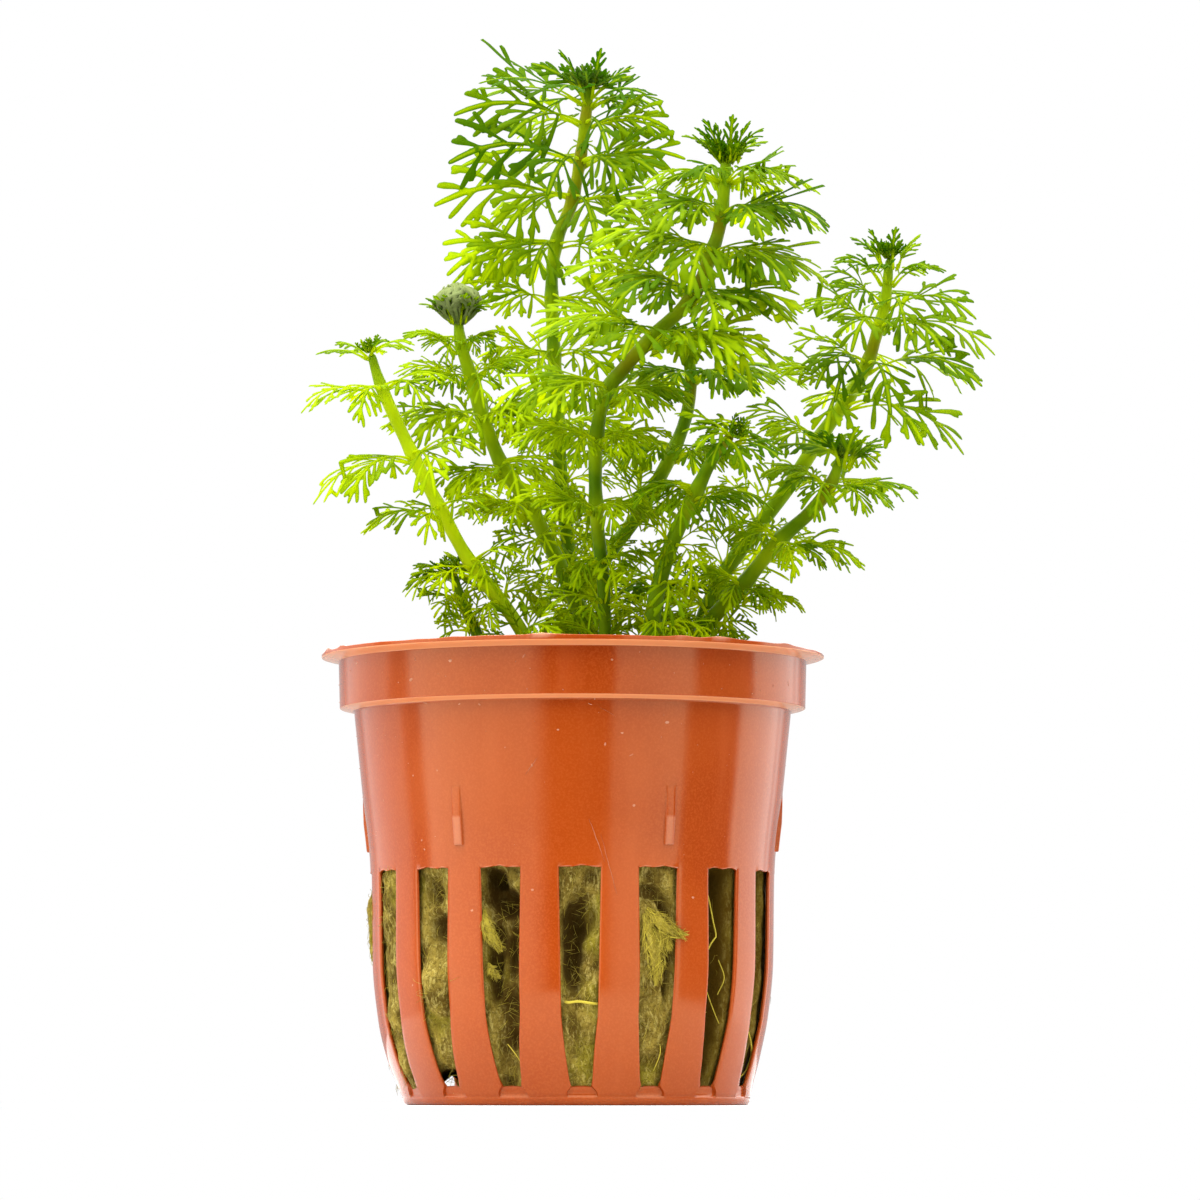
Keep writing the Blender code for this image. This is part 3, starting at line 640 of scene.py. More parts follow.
# Flakes: degrees from the front, height, length, width in mm and turn in degrees
FLAKES = ((-42.0, 45.1, 0.5, 0.3, 20), (-49.4, 43.1, 0.6, 0.3, 10), (-40.8, 42.7, 0.9, 0.25, -15),
          (-30.0, 42.4, 0.4, 0.3, 40), (-30.2, 46.9, 0.45, 0.3, 0), (-24.2, 42.3, 0.5, 0.3, -30),
          (-15.3, 42.9, 1.3, 0.3, 5), (-0.9, 42.95, 1.0, 0.35, 0), (5.9, 42.8, 0.5, 0.3, 25),
          (8.7, 38.0, 0.5, 0.35, 60), (13.1, 39.2, 0.45, 0.3, 0), (-17.5, 37.7, 0.35, 0.3, 0),
          (15.7, 36.9, 0.75, 0.25, 20),
          (-10.4, 35.8, 0.6, 0.25, 110), (-38.2, 35.5, 0.35, 0.3, 0), (-47.2, 35.1, 0.35, 0.3, 0),
          (-3.5, 39.5, 0.4, 0.3, 0), (25.2, 40.4, 0.75, 0.45, 10), (16.9, 31.6, 0.5, 0.4, 0),
          (-46.0, 28.2, 0.45, 0.25, 50), (-45.1, 27.2, 0.5, 0.25, -40), (-28.7, 20.6, 0.6, 0.3, 20),
          (-10.9, 22.7, 0.5, 0.35, 0), (-51.6, 12.8, 0.45, 0.3, 30), (35.8, 22.0, 0.6, 0.4, 0),
          (-11.3, 47.2, 0.7, 0.2, 55), (9.6, 46.8, 0.3, 0.3, 0), (4.7, 42.2, 0.8, 0.15, -25))
# Scratches: two ends as degrees and height, and the width in mm
SCRATCHES = (((4.7, 30.2), (9.2, 25.6), 0.12), ((7.9, 28.6), (12.6, 22.2), 0.10), ((-9.0, 36.6), (-12.2, 34.8), 0.12),
             ((7.0, 41.9), (11.2, 41.0), 0.10))
STRAY_FLAKES = 44
DUST = 170
FLAKE_SIDES = 7
SCRATCH_STEPS = 14
# The collar's radius at its foot, where it starts, and how much it widens for each mm up
COLLAR_RADIUS = 25.52
COLLAR_FOOT = 43.3
COLLAR_SLOPE = 0.02


def skin_radius(height):
    """The pot's outer radius, on the wall and on the collar."""
    collar = COLLAR_RADIUS + (height - COLLAR_FOOT) * COLLAR_SLOPE
    return np.where(height > COLLAR_FOOT, collar, wall_radius(height))


def on_pot(turn, height, proud):
    """Points on the pot's outside, from degrees round from the front."""
    angle = np.radians(turn) - math.pi / 2.0
    radius = skin_radius(height) + proud
    return np.stack([radius * np.cos(angle), radius * np.sin(angle), height + 0.0 * angle], axis=-1)


def lug(turn):
    heights, proud = np.array(LUG_LINE).T
    across, part = np.array(LUG_SECTION).T
    places = turn + np.degrees(across / LUG_RADIUS)
    rise = np.where(proud[:, None] > 0.0, proud[:, None] * part - 0.10 * (1.0 - part), proud[:, None])
    pale_pad = (part > 0.9) & ((heights < LUG_PAD) & (proud > 0.22))[:, None]
    points = on_pot(np.tile(places, (len(heights), 1)), np.repeat(heights[:, None], len(places), 1), rise)
    wide = len(places)
    faces = [(row * wide + step, (row + 1) * wide + step, (row + 1) * wide + step + 1, row * wide + step + 1)
             for row in range(len(heights) - 1) for step in range(wide - 1)]
    return points.reshape(-1, 3), faces, pale_pad.ravel() * 0.14


def flake(turn, height, length, width, tip, dice):
    """A low uneven dome with seven sides, and how pale it is."""
    spin = math.radians(tip)
    rim = []
    for side in range(FLAKE_SIDES):
        angle = 2.0 * math.pi * side / FLAKE_SIDES
        part = dice.uniform(0.65, 1.15) / 2.0
        along, over = length * part * math.cos(angle), width * part * math.sin(angle)
        rim.append((along * math.cos(spin) - over * math.sin(spin), along * math.sin(spin) + over * math.cos(spin)))
    rim = np.array(rim)
    sides = turn + np.degrees(np.append(rim[:, 0], 0.0) / FLAKE_RADIUS)
    proud = np.append(np.full(FLAKE_SIDES, -0.03), 0.07)
    points = on_pot(sides, height + np.append(rim[:, 1], 0.0), proud)
    faces = [(FLAKE_SIDES, side, (side + 1) % FLAKE_SIDES) for side in range(FLAKE_SIDES)]
    return points, faces, np.full(len(points), dice.uniform(0.10, 0.36))


def scratch(start, end, width, dice):
    """A low ridge with a ragged edge."""
    steps = SCRATCH_STEPS
    turns = np.linspace(start[0], end[0], steps) + np.array([dice.gauss(0.0, 0.06) for _ in range(steps)])
    heights = np.linspace(start[1], end[1], steps)
    halves = width / 2.0 * np.sin(np.linspace(0.15, math.pi - 0.15, steps))
    spread = np.degrees(halves / SCRATCH_RADIUS)
    points = np.stack([on_pot(turns - spread, heights, -0.02), on_pot(turns, heights, 0.04),
                       on_pot(turns + spread, heights, -0.02)], axis=1)
    return points.reshape(-1, 3), grid_faces(steps, 3, False), np.full(3 * steps, 0.20)


dice = random.Random(5)
marks = [flake(*place, dice) for place in FLAKES]
for _ in range(STRAY_FLAKES):
    marks.append(flake(dice.uniform(60.0, 300.0), dice.uniform(26.5, 47.5), dice.uniform(0.25, 0.6), 0.25,
                       dice.uniform(0.0, 180.0), dice))
for _ in range(DUST):
    low, high = dice.choice(((26.5, 42.0), (26.5, 42.0), (43.6, 47.9)))
    marks.append(flake(dice.uniform(-180.0, 180.0), dice.uniform(low, high), dice.uniform(0.10, 0.22), 0.12,
                       dice.uniform(0.0, 180.0), dice))
marks += [scratch(*place, dice) for place in SCRATCHES]
lugs = [lug(turn) for turn in LUG_TURNS]
print("lugs:", len(lugs), "flakes and scratches:", len(marks))

# %% [markdown]
# ## Clay-coloured plastic
#
# The plastic is a saturated red-brown with a soft shine. It is not even: pale flow
# marks run up the wall, the colour clouds a little, and the surface has a fine
# orange peel that breaks up the reflections. Flash, the lugs' lower faces and flakes go
# chalky, which is stored on the mesh as a number. The two narrow faces that look down
# from the rim and from the collar are painted pale orange: a painted glow for the light
# they catch from the table. A thin wall of plastic lets some light in, so a little of
# it is scattered under the surface.

# %% Plastic material
def texture(tree, vector, scale, **settings):
    """Noise in space, as a value. Settings are the node's own sockets."""
    node = tree.nodes.new("ShaderNodeTexNoise")
    node.inputs["Scale"].default_value = scale
    for title, value in settings.items():
        node.inputs[title].default_value = value
    tree.links.new(vector, node.inputs["Vector"])
    return node.outputs["Fac"]


def mix_colours(tree, factor, first, second):
    mix = tree.nodes.new("ShaderNodeMix")
    mix.data_type = "RGBA"
    tree.links.new(factor, mix.inputs["Factor"])
    for socket, colour in ((mix.inputs["A"], first), (mix.inputs["B"], second)):
        if isinstance(colour, tuple):
            socket.default_value = (*colour, 1.0)
        else:
            tree.links.new(colour, socket)
    return mix.outputs["Result"]


def coats(tree, colour, *layers):
    """The colour with others laid over it. Each layer is how much of it and its colour."""
    for factor, over in layers:
        colour = mix_colours(tree, factor, colour, over)
    return colour


def number_at_point(tree, title):
    node = tree.nodes.new("ShaderNodeAttribute")
    node.attribute_name = title
    return node.outputs["Fac"]


def stretched(tree, vector, scale):
    node = tree.nodes.new("ShaderNodeMapping")
    node.inputs["Scale"].default_value = scale
    tree.links.new(vector, node.inputs["Vector"])
    return node.outputs["Vector"]


def add_bump(tree, shader, height, strength, distance_mm):
    bump = tree.nodes.new("ShaderNodeBump")
    bump.inputs["Strength"].default_value = strength
    bump.inputs["Distance"].default_value = distance_mm * MM
    tree.links.new(height, bump.inputs["Height"])
    tree.links.new(bump.outputs["Normal"], shader.inputs["Normal"])


def new_material(name):
    material = bpy.data.materials.new(name)
    material.use_nodes = True
    tree = material.node_tree
    place = tree.nodes.new("ShaderNodeTexCoord").outputs["Object"]
    return material, tree, tree.nodes["Principled BSDF"], place


def plastic_material():
    material, tree, shader, place = new_material("clay plastic")
    clouds = texture(tree, place, 55.0, Detail=3.0)
    flow = texture(tree, stretched(tree, place, (1.0, 1.0, 0.12)), 260.0)
    grain = texture(tree, place, 4300.0, Detail=3.0, Roughness=0.6)
    peel = texture(tree, place, 900.0, Detail=3.0)
    body = coats(tree, (0.278, 0.036, 0.0025),
                 (ramp(tree, clouds, 0.35, 0.65), (0.315, 0.047, 0.004)),
                 (ramp(tree, flow, 0.52, 0.80, 0.0, 0.35), (0.39, 0.075, 0.016)),
                 (ramp(tree, grain, 0.42, 0.66, 0.0, 0.42), (0.39, 0.070, 0.012)),
                 # Painted glow: the faces that look down from the rim and the collar are painted pale orange for the
                 # light they catch from the table
                 (number_at_point(tree, "under"), (0.70, 0.265, 0.105)),
                 (number_at_point(tree, "chalk"), (0.80, 0.48, 0.32)))
    tree.links.new(body, shader.inputs["Base Color"])
    tree.links.new(ramp(tree, clouds, 0.3, 0.7, 0.09, 0.14), shader.inputs["Roughness"])
    shader.inputs["Specular IOR Level"].default_value = 0.5
    shader.inputs["Specular Tint"].default_value = (1.0, 0.83, 0.50, 1.0)
    shader.inputs["Subsurface Weight"].default_value = 0.10
    shader.inputs["Subsurface Radius"].default_value = (1.0, 0.25, 0.08)
    shader.inputs["Subsurface Scale"].default_value = 0.0008
    # The slats are a little wavy, the upper wall is not
    waves = texture(tree, place, 150.0, Detail=2.0)
    height = tree.nodes.new("ShaderNodeSeparateXYZ")
    tree.links.new(place, height.inputs["Vector"])
    low = ramp(tree, height.outputs["Z"], 0.020, 0.028, 9.0, 0.0)
    surface = calculate(tree, "MULTIPLY_ADD", waves, low, peel)
    add_bump(tree, shader, surface, 0.35, 0.02)
    return material


clay_plastic = plastic_material()
print("plastic nodes:", len(clay_plastic.node_tree.nodes))

# %% [markdown]
# ## The pot, put together
#
# The skin, the lugs and the marks become one mesh that stands for the pot's solid.
# Edges that bend by more than fifty degrees stay crisp.

# %% Put the pot together
# The two faces that look down and get a painted glow: from which height to which, and outside which radius
RIM_UNDER = (48.31, 48.80, 25.62)
COLLAR_UNDER = (42.84, 43.215, 23.93)
# The rim's flash lies above this height
RIM_TOP = 48.9


def chalk_of(points):
    """How chalky each point of the pot's skin is: on the rim's flash and the slot heads."""
    turn_wave = rim_wave(np.arctan2(points[:, 1], points[:, 0]))
    flash = np.clip((turn_wave - 0.36) / 0.25, 0.0, 0.45) * (points[:, 2] > RIM_TOP)
    radius = np.hypot(points[:, 0], points[:, 1])
    head = 0.25 * (np.abs(points[:, 2] - SLOT_HEAD) < 0.35) * (radius > wall_radius(points[:, 2]) + 0.01)
    return np.maximum(flash, head)


def painted_glow_of(points):
    """1 on the two narrow faces that look down from the rim and from the collar, where a pale orange glow is painted.
    """
    height, radius = points[:, 2], np.hypot(points[:, 0], points[:, 1])
    rim, collar = [(height > low) & (height < high) & (radius > least)
                   for low, high, least in (RIM_UNDER, COLLAR_UNDER)]
    return 1.0 * (rim | collar)


def pot_piece():
    points, faces = put_together([(pot_points, pot_skin)] + [part[:2] for part in lugs + marks])
    chalk = np.concatenate([chalk_of(pot_points)] + [part[2] for part in lugs + marks])
    # The painted glow goes on the pot's skin only
    under = np.append(painted_glow_of(pot_points), np.zeros(len(points) - len(pot_points)))
    return make_piece("net_pot_skin", points, faces, clay_plastic, "clay_plastic", ("net_pot",),
                      sharp=50.0, outward=True, chalk=chalk, under=under)


pot = pot_piece()
print("faces of the pot:", len(pot.data.polygons))

# %% [markdown]
# ## Rock wool
#
# The plug is spun stone fibre with algae and dead roots in it: matted, torn in
# places, and nowhere smooth. Behind the slats the pot presses it flat. In the slots
# it swells out, or has been torn away and lies deep in shadow. The plug is a fine
# grid round the pot's middle, and a few layers of noise and one depth for each slot
# say how far out each point lies.

# %% Shape of the plug
# How far the wool stands out in each slot, in mm, from the front slot to the right
SLOT_SWELL = (-0.1, 0.0, -4.6, -2.2, 0.0, -0.9, 0.2, -1.4, 0.0, 0.3, -1.1, 0.0, 0.2, 0.45, 0.0, -0.9)
# Bulges and hollows: slot, place across it from -1 to 1, height, half sizes both ways,
# how far the place moves across for each mm up, and how far out in mm
BULGES = ((0, -0.45, 17.0, 0.62, 4.9, 0.03, -3.2), (1, -0.25, 22.4, 0.85, 0.9, -0.25, -1.3),
          (1, 0.70, 20.4, 0.45, 1.3, -0.20, -1.9), (1, 0.90, 14.2, 0.32, 3.6, 0.0, -2.4),
          (3, -0.70, 13.0, 0.45, 12.0, 0.0, 2.3), (12, 0.0, 19.5, 1.3, 4.2, 0.0, 0.62),
          (14, 0.0, 12.5, 1.5, 2.5, 0.0, 1.0), (14, -0.2, 22.8, 0.8, 2.0, 0.0, -1.0),
          (14, 0.1, 18.7, 1.0, 1.5, -0.15, -1.6), (15, -0.75, 24.2, 0.45, 1.6, -0.25, -2.2),
          (15, 0.10, 21.2, 0.95, 1.3, -0.40, -2.3), (15, 0.70, 16.5, 0.38, 3.2, 0.0, -1.2),
          (15, -0.80, 13.4, 0.35, 2.2, 0.0, -1.8), (15, 0.50, 23.9, 0.45, 1.3, 0.0, 1.3))
WOOL_COLUMNS = 432
WOOL_TOP = 41.0
WOOL_FOOT = 1.55
PRESSED = 0.12
# Under the plug's left side a gap lets light through from the back: its place, half
# width and height in mm
TUNNEL_AT = -12.75
TUNNEL_HALF = 1.75
TUNNEL_RISE = 2.3
# How far up the side of the wool the tunnel still lifts it, in mm
TUNNEL_FADE = 4.0
# The rings of points under the plug and on its top, as shares of its radius
UNDER_SHARES = (0.0, 0.3, 0.55, 0.75, 0.88, 0.96)
TOP_SHARES = (0.985, 0.95, 0.9, 0.84, 0.77, 0.69, 0.60, 0.51, 0.42, 0.33, 0.24, 0.15, 0.06)
# The pot's radius halfway up its slots
SLOT_RADIUS = 21.0


def lumps(place, size, seed):
    """Soft noise between -1 and 1 with lumps of that size in mm."""
    return noise.noise(Vector((place[0] / size + seed, place[1] / size, place[2] / size)))


def slot_window(turn, height):
    """The slot's number, and 1 in the middle of the slot falling to 0 at its edges."""
    period = 360.0 / SLOT_COUNT
    number = round((turn - FIRST_SLOT) / period)
    aside = math.radians(turn - FIRST_SLOT - number * period) * SLOT_RADIUS / slot_half_width(height)
    inside = max(0.0, 1.0 - aside ** 4) * (abs(aside) < 1.0)
    ends = np.clip((height - SLOT_FOOT + 0.6) / 1.2, 0.0, 1.0) * np.clip((SLOT_HEAD + 0.4 - height) / 1.2, 0.0, 1.0)
    return number % SLOT_COUNT, aside, float(inside * ends)


def wool_radius(turn, height):
    """Where the wool's skin lies, and how deep below the pot's outside that is."""
    angle = math.radians(turn) - math.pi / 2.0
    wall = SLOT_WALL if height < SLOT_HEAD + 0.8 else WALL
    limit = float(wall_radius(min(height, 42.0))) - wall - PRESSED
    place = (limit * math.cos(angle), limit * math.sin(angle), height)
    number, aside, window = slot_window(turn, height)
    swell = SLOT_SWELL[number]
    waver = 0.25 * lumps(place, 1.6, 40.0)
    for slot, across, at, wide, tall, lean, out in BULGES:
        if slot == number:
            aside_share = (aside - across - lean * (height - at) + waver) / wide
            swell += out * math.exp(-(aside_share ** 4) - ((height - at) / tall) ** 4)
    rough = 0.55 * lumps(place, 5.0, 1.0) + 0.35 * lumps(place, 1.9, 7.0) + 0.16 * lumps(place, 0.7, 3.0)
    torn = -2.4 * max(0.0, lumps(place, 3.6, 12.0) - 0.10) * (swell < 0.6)
    open_part = window * (swell + rough + torn)
    pressed = (1.0 - window) * (-0.25 + 0.25 * lumps(place, 3.0, 20.0))
    return limit + min(0.0, pressed) + open_part, window


print("wool in the front slot, halfway up, at radius:", round(wool_radius(FIRST_SLOT, 13.0)[0], 1), "mm")

# %% [markdown]
# ## The plug as one grid
#
# Rows of points go from the middle of the underside outward, up the side and back in
# over the top. The rows are closest behind the slots, where the wool is seen. Under the
# left side the rows lift into a small tunnel, so that white shows through it.

# %% Lay out the plug
def wool_rows():
    """Rows of heights: fine behind the slots, coarser above them."""
    fine = np.linspace(WOOL_FOOT, SLOT_HEAD + 0.8, 72)
    return np.concatenate([fine, np.linspace(26.8, WOOL_TOP - 0.9, 14)])


def spot_at(turn, radius):
    """Where that radius is, at so many degrees round from the front."""
    angle = math.radians(turn) - math.pi / 2.0
    return radius * math.cos(angle), radius * math.sin(angle)


def tunnel_rise(across):
    """How far the tunnel lifts the wool's underside there."""
    return TUNNEL_RISE * math.exp(-((across - TUNNEL_AT) / TUNNEL_HALF) ** 4)


def wool_grid():
    """The plug as one grid: its underside from the middle out, its side, its top."""
    turns = -180.0 + 360.0 * np.arange(WOOL_COLUMNS) / WOOL_COLUMNS
    points, deep = [], []
    for share in UNDER_SHARES:
        for turn in turns:
            spot = spot_at(turn, 0.3 + share * (wool_radius(turn, WOOL_FOOT)[0] - 0.3))
            rough = 0.25 * lumps((*spot, 0.0), 2.0, 5.0) ** 2
            points.append((*spot, WOOL_FOOT + tunnel_rise(spot[0]) + rough))
            deep.append(1.0)
    for height in wool_rows():
        for turn in turns:
            radius = wool_radius(turn, height)[0]
            spot = spot_at(turn, radius)
            tunnel = tunnel_rise(spot[0]) * max(0.0, 1.0 - (height - WOOL_FOOT) / TUNNEL_FADE)
            points.append((*spot, height + tunnel))
            deep.append(max(0.0, float(wall_radius(height)) - radius))
    for share in TOP_SHARES:
        for turn in turns:
            spot = spot_at(turn, share * (float(wall_radius(WOOL_TOP)) - WALL - PRESSED))
            rise = 0.8 * lumps((*spot, 0.0), 6.0, 9.0) + 0.4 * lumps((*spot, 0.0), 1.5, 4.0)
            edge = -1.2 * max(0.0, share - 0.9) / 0.1
            points.append((*spot, WOOL_TOP - 0.3 + rise + edge))
            deep.append(1.0)
    return np.array(points), grid_faces(len(points) // WOOL_COLUMNS, WOOL_COLUMNS), np.array(deep)


plug_points, plug_faces, plug_depth = wool_grid()
print("rock wool points:", len(plug_points), "deepest place in a slot:", round(float(plug_depth.max()), 1), "mm")

# %% [markdown]
# ## Tufts, roots and loose fibres
#
# What makes wool look like wool is what stands off it. A torn tuft is a small lumpy
# core, flattened against the pot, under a bundle of fibres that run along it and fray
# at its end. Roots are thin pale tubes. Loose fibres are very thin three-sided tubes,
# short and curved, and lie in all directions across the slots.

# %% Tubes and curves
# A direction that no stem and no thread runs along, to set out their rings from
SIDEWAYS = (0.31, -0.87, 0.38)


def tube(line, radii, sides, flat=1.0, out=None):
    """A closed tube along a line. flat squeezes it along out, seen from the middle."""
    line = np.asarray(line, float)
    radii = np.broadcast_to(radii, len(line))
    ways = np.gradient(line, axis=0)
    ways /= np.linalg.norm(ways, axis=1, keepdims=True)
    if out is None:
        out = np.array(SIDEWAYS)
    side_ways = np.cross(ways, out)
    side_ways /= np.linalg.norm(side_ways, axis=1, keepdims=True)
    out_ways = np.cross(side_ways, ways)
    points = []
    for step, middle in enumerate(line):
        for side in range(sides):
            angle = 2.0 * math.pi * side / sides
            points.append(middle + radii[step] * (math.cos(angle) * side_ways[step]
                                                  + flat * math.sin(angle) * out_ways[step]))
    return np.array(points), grid_faces(len(line), sides)


def around(turn, height, proud):
    """One point that far out from the pot's wall."""
    return on_pot(np.array(float(turn)), np.array(float(height)), proud)


def smooth_line(points, count):
    """That many points on a curve through the given ones."""
    points = np.asarray(points, float)
    known = np.append(0.0, np.cumsum(np.linalg.norm(np.diff(points, axis=0), axis=1)))
    padded = np.vstack([2 * points[0] - points[1], points, 2 * points[-1] - points[-2]])
    line = []
    for at in np.linspace(0.0, known[-1], count):
        cell = min(int(np.searchsorted(known, at, side="right")) - 1, len(points) - 2)
        share = (at - known[cell]) / (known[cell + 1] - known[cell])
        a, b, c, d = padded[cell:cell + 4]
        line.append(0.5 * (2 * b + (c - a) * share + (2 * a - 5 * b + 4 * c - d) * share ** 2
                           + (3 * b - a - 3 * c + d) * share ** 3))
    return np.array(line)


print("points of a curve through three places:", len(smooth_line(((0, 0, 0), (1, 1, 0), (2, 0, 0)), 9)))

# %% [markdown]
# ## Where tufts and roots lie
#
# A few of them catch the eye in the slots, so these are listed one by one, as places on
# the pot's outside. Those at the back are of the same kind.

# %% Places of the tufts and roots
# Each tuft: places as degrees, height and how far out, then its half widths in mm
TUFTS = (
    (((-26.0, 20.8, -0.9), (-24.4, 19.2, -0.2), (-22.0, 17.4, 0.0), (-20.2, 16.2, -0.8)), (0.2, 0.62, 0.66, 0.25)),
    (((-25.0, 15.0, -1.0), (-23.2, 14.2, -0.5), (-21.2, 13.4, -1.0)), (0.25, 0.4, 0.2)),
    (((-46.5, 14.6, -1.0), (-44.0, 12.9, -0.3), (-41.5, 12.0, -0.8)), (0.4, 0.9, 0.35)),
    (((21.6, 20.9, -0.9), (25.0, 19.3, 0.05), (29.0, 18.3, 0.30), (34.0, 17.9, 0.12)), (0.35, 0.95, 0.75, 0.10)),
    (((22.4, 18.4, -0.9), (26.0, 17.4, 0.0), (29.4, 16.4, -0.4)), (0.7, 1.1, 0.4)),
    (((21.0, 20.2, -0.8), (22.6, 17.8, -0.1), (24.2, 15.2, -0.1), (25.0, 12.5, -0.7)), (0.35, 1.0, 1.1, 0.4)),
    (((114.0, 18.0, -0.9), (117.0, 15.0, -0.2), (115.5, 11.0, -0.8)), (0.5, 0.9, 0.4)),
    (((158.0, 20.0, -0.8), (160.0, 16.0, 0.0), (161.5, 13.0, -0.6)), (0.5, 0.8, 0.3)),
    (((-112.0, 9.0, -0.8), (-110.0, 12.5, 0.0), (-111.5, 16.0, -0.7)), (0.4, 0.9, 0.4)),
)
# Each root: places as degrees, height and how far out, then its radius in mm
ROOTS = (
    (((-2.0, 10.9, -0.9), (-0.6, 10.85, -0.25), (2.0, 10.95, -0.1), (5.0, 10.8, -0.1), (7.6, 10.7, -0.6)), 0.15),
    (((43.2, 25.0, -2.2), (44.0, 22.5, -1.2), (45.8, 19.4, -0.9), (46.6, 18.0, -0.8), (45.0, 17.3, -0.9),
      (42.6, 15.6, -1.1), (41.6, 13.6, -1.8)), 0.085),
    (((42.4, 14.4, -1.4), (44.0, 12.2, -1.0), (48.5, 9.8, -1.0), (54.0, 8.3, -1.4)), 0.055),
    (((50.5, 15.5, -1.6), (51.5, 13.6, -1.0), (51.0, 11.8, -1.6)), 0.05),
    (((70.0, 9.0, -1.4), (73.0, 6.8, -0.6), (76.5, 5.2, -0.5), (76.0, 3.6, -0.6), (72.5, 3.0, -0.9),
      (70.5, 4.2, -1.3)), 0.10),
    (((-20.0, 6.5, -0.9), (-17.0, 5.2, -0.6), (-14.5, 3.4, -0.9)), 0.05),
    (((26.0, 8.0, -0.8), (28.0, 5.8, -0.5), (27.0, 3.6, -0.8)), 0.05),
    (((140.0, 21.0, -1.6), (137.5, 15.0, -0.8), (136.0, 8.0, -1.0)), 0.08),
    (((-134.0, 18.0, -1.4), (-132.0, 12.0, -0.7), (-135.0, 6.0, -1.0)), 0.07),
    (((92.0, 20.0, -1.2), (90.0, 13.0, -0.7), (92.5, 7.0, -1.1)), 0.06),
)
FIBRES = 4400
TUFT_FIBRES = 125
# Steps along a tuft for its core and for its threads, and points along one thread
CORE_STEPS = 22
TUFT_STEPS = 40
THREAD_POINTS = 6
print("tufts set out:", len(TUFTS), "roots:", len(ROOTS), "loose fibres to try:", FIBRES)

# %% [markdown]
# ## Growing the fibres
#
# Fibres are too many to set out by hand, so dice give each its place, length and bend.
# The dice start from a fixed number, so every run grows the same ones. A fibre that
# would lie on a slat is left out.

# %% Tufts, roots and fibres
def tuft_line(places, halves, count):
    """The middle and the half width of a tuft at that many steps."""
    line = smooth_line([around(*place) for place in places], count)
    radii = np.interp(np.linspace(0.0, 1.0, count), np.linspace(0.0, 1.0, len(halves)), halves)
    return line, radii * np.sin(np.linspace(0.25, math.pi - 0.25, count)) ** 0.35


def tuft(places, halves, seed):
    """The lumpy core of a tuft, a closed tube flattened against the pot."""
    line, radii = tuft_line(places, halves, CORE_STEPS)
    middle = line[CORE_STEPS // 2]
    out = np.array((middle[0], middle[1], 0.0)) / 22.0
    points, faces = tube(line, radii * 0.55, 14, 0.45, out)
    for index, point in enumerate(points):
        points[index] = point + Vector(point / np.linalg.norm(point)) * (
            0.22 * lumps(point, 0.9, seed) + 0.20 * lumps(point, 0.35, seed + 3.0))
    return points, faces


def tuft_fibre(places, halves, dice):
    """One thread that crosses over the core of a tuft and stands off at its end."""
    line, radii = tuft_line(places, halves, TUFT_STEPS)
    start = dice.randrange(0, 32)
    steps = np.linspace(start, min(TUFT_STEPS - 1, start + dice.randrange(5, 15)), THREAD_POINTS)
    rows = np.arange(TUFT_STEPS)
    path = np.stack([np.interp(steps, rows, line[:, side]) for side in (0, 1, 2)], axis=1)
    width = np.interp(steps, rows, radii)
    out = unit(np.array((path[2][0], path[2][1], 0.0)))
    aside = unit(np.cross(path[-1] - path[0], out))
    angle = dice.uniform(-0.15, math.pi + 0.15)
    twist = np.linspace(0.0, dice.uniform(-2.6, 2.6), THREAD_POINTS)
    fray = np.linspace(0.0, 1.0, THREAD_POINTS) ** 2 * dice.uniform(0.0, 0.6)
    path = path + aside * ((width * 0.95 + fray) * np.cos(angle + twist))[:, None]
    path = path + out * ((width * 0.40 + fray * 0.5) * np.sin(angle + twist) + 0.04)[:, None]
    return tube(path, np.linspace(1.0, 0.35, THREAD_POINTS) * dice.uniform(0.022, 0.055), 3, 1.0, out)


def fibre(dice):
    """A short curved thread that starts in the wool of a slot and lies on it."""
    number = dice.randrange(SLOT_COUNT)
    turn = number * 360.0 / SLOT_COUNT + FIRST_SLOT + dice.uniform(-5.2, 5.2)
    height = dice.uniform(2.4, 24.8)
    radius, window = wool_radius((turn + 180.0) % 360.0 - 180.0, height)
    if window < 0.3:
        return None
    start = around(turn, height, radius - float(wall_radius(height)) - 0.12)
    way = dice.uniform(0.0, 2.0 * math.pi)
    length = dice.uniform(0.5, 1.9)
    angle = math.radians(turn) - math.pi / 2.0
    out = np.array((math.cos(angle), math.sin(angle), 0.0))
    aside = np.array((-math.sin(angle), math.cos(angle), 0.0))
    along = math.cos(way) * aside + math.sin(way) * np.array((0.0, 0.0, 1.0))
    curl = np.cross(out, along) * dice.uniform(-0.5, 0.5)
    lift = dice.uniform(0.05, 0.35)
    line = [start + length * (share * along + share ** 2 * curl) + out * lift * math.sin(math.pi * share * 0.8)
            for share in (0.0, 0.35, 0.7, 1.0)]
    if max(abs((math.degrees(math.atan2(point[0], -point[1])) - turn + 180.0) % 360.0 - 180.0)
           for point in line) > 9.0:
        return None
    return tube(line, np.array((0.026, 0.024, 0.020, 0.009)) * dice.uniform(0.7, 1.4), 3, 1.0, out)


dice = random.Random(31)
tufts = [tuft(places, halves, 2.0 + index) for index, (places, halves) in enumerate(TUFTS)]
roots = [tube(smooth_line([around(*place) for place in places], 26), radius, 6) for places, radius in ROOTS]
fibres = [thread for thread in (fibre(dice) for _ in range(FIBRES)) if thread]
tuft_fibres = [tuft_fibre(places, halves, dice) for places, halves in TUFTS for _ in range(TUFT_FIBRES)]
print("tufts:", len(tufts), "roots:", len(roots), "fibres:", len(fibres), "and on tufts:", len(tuft_fibres))
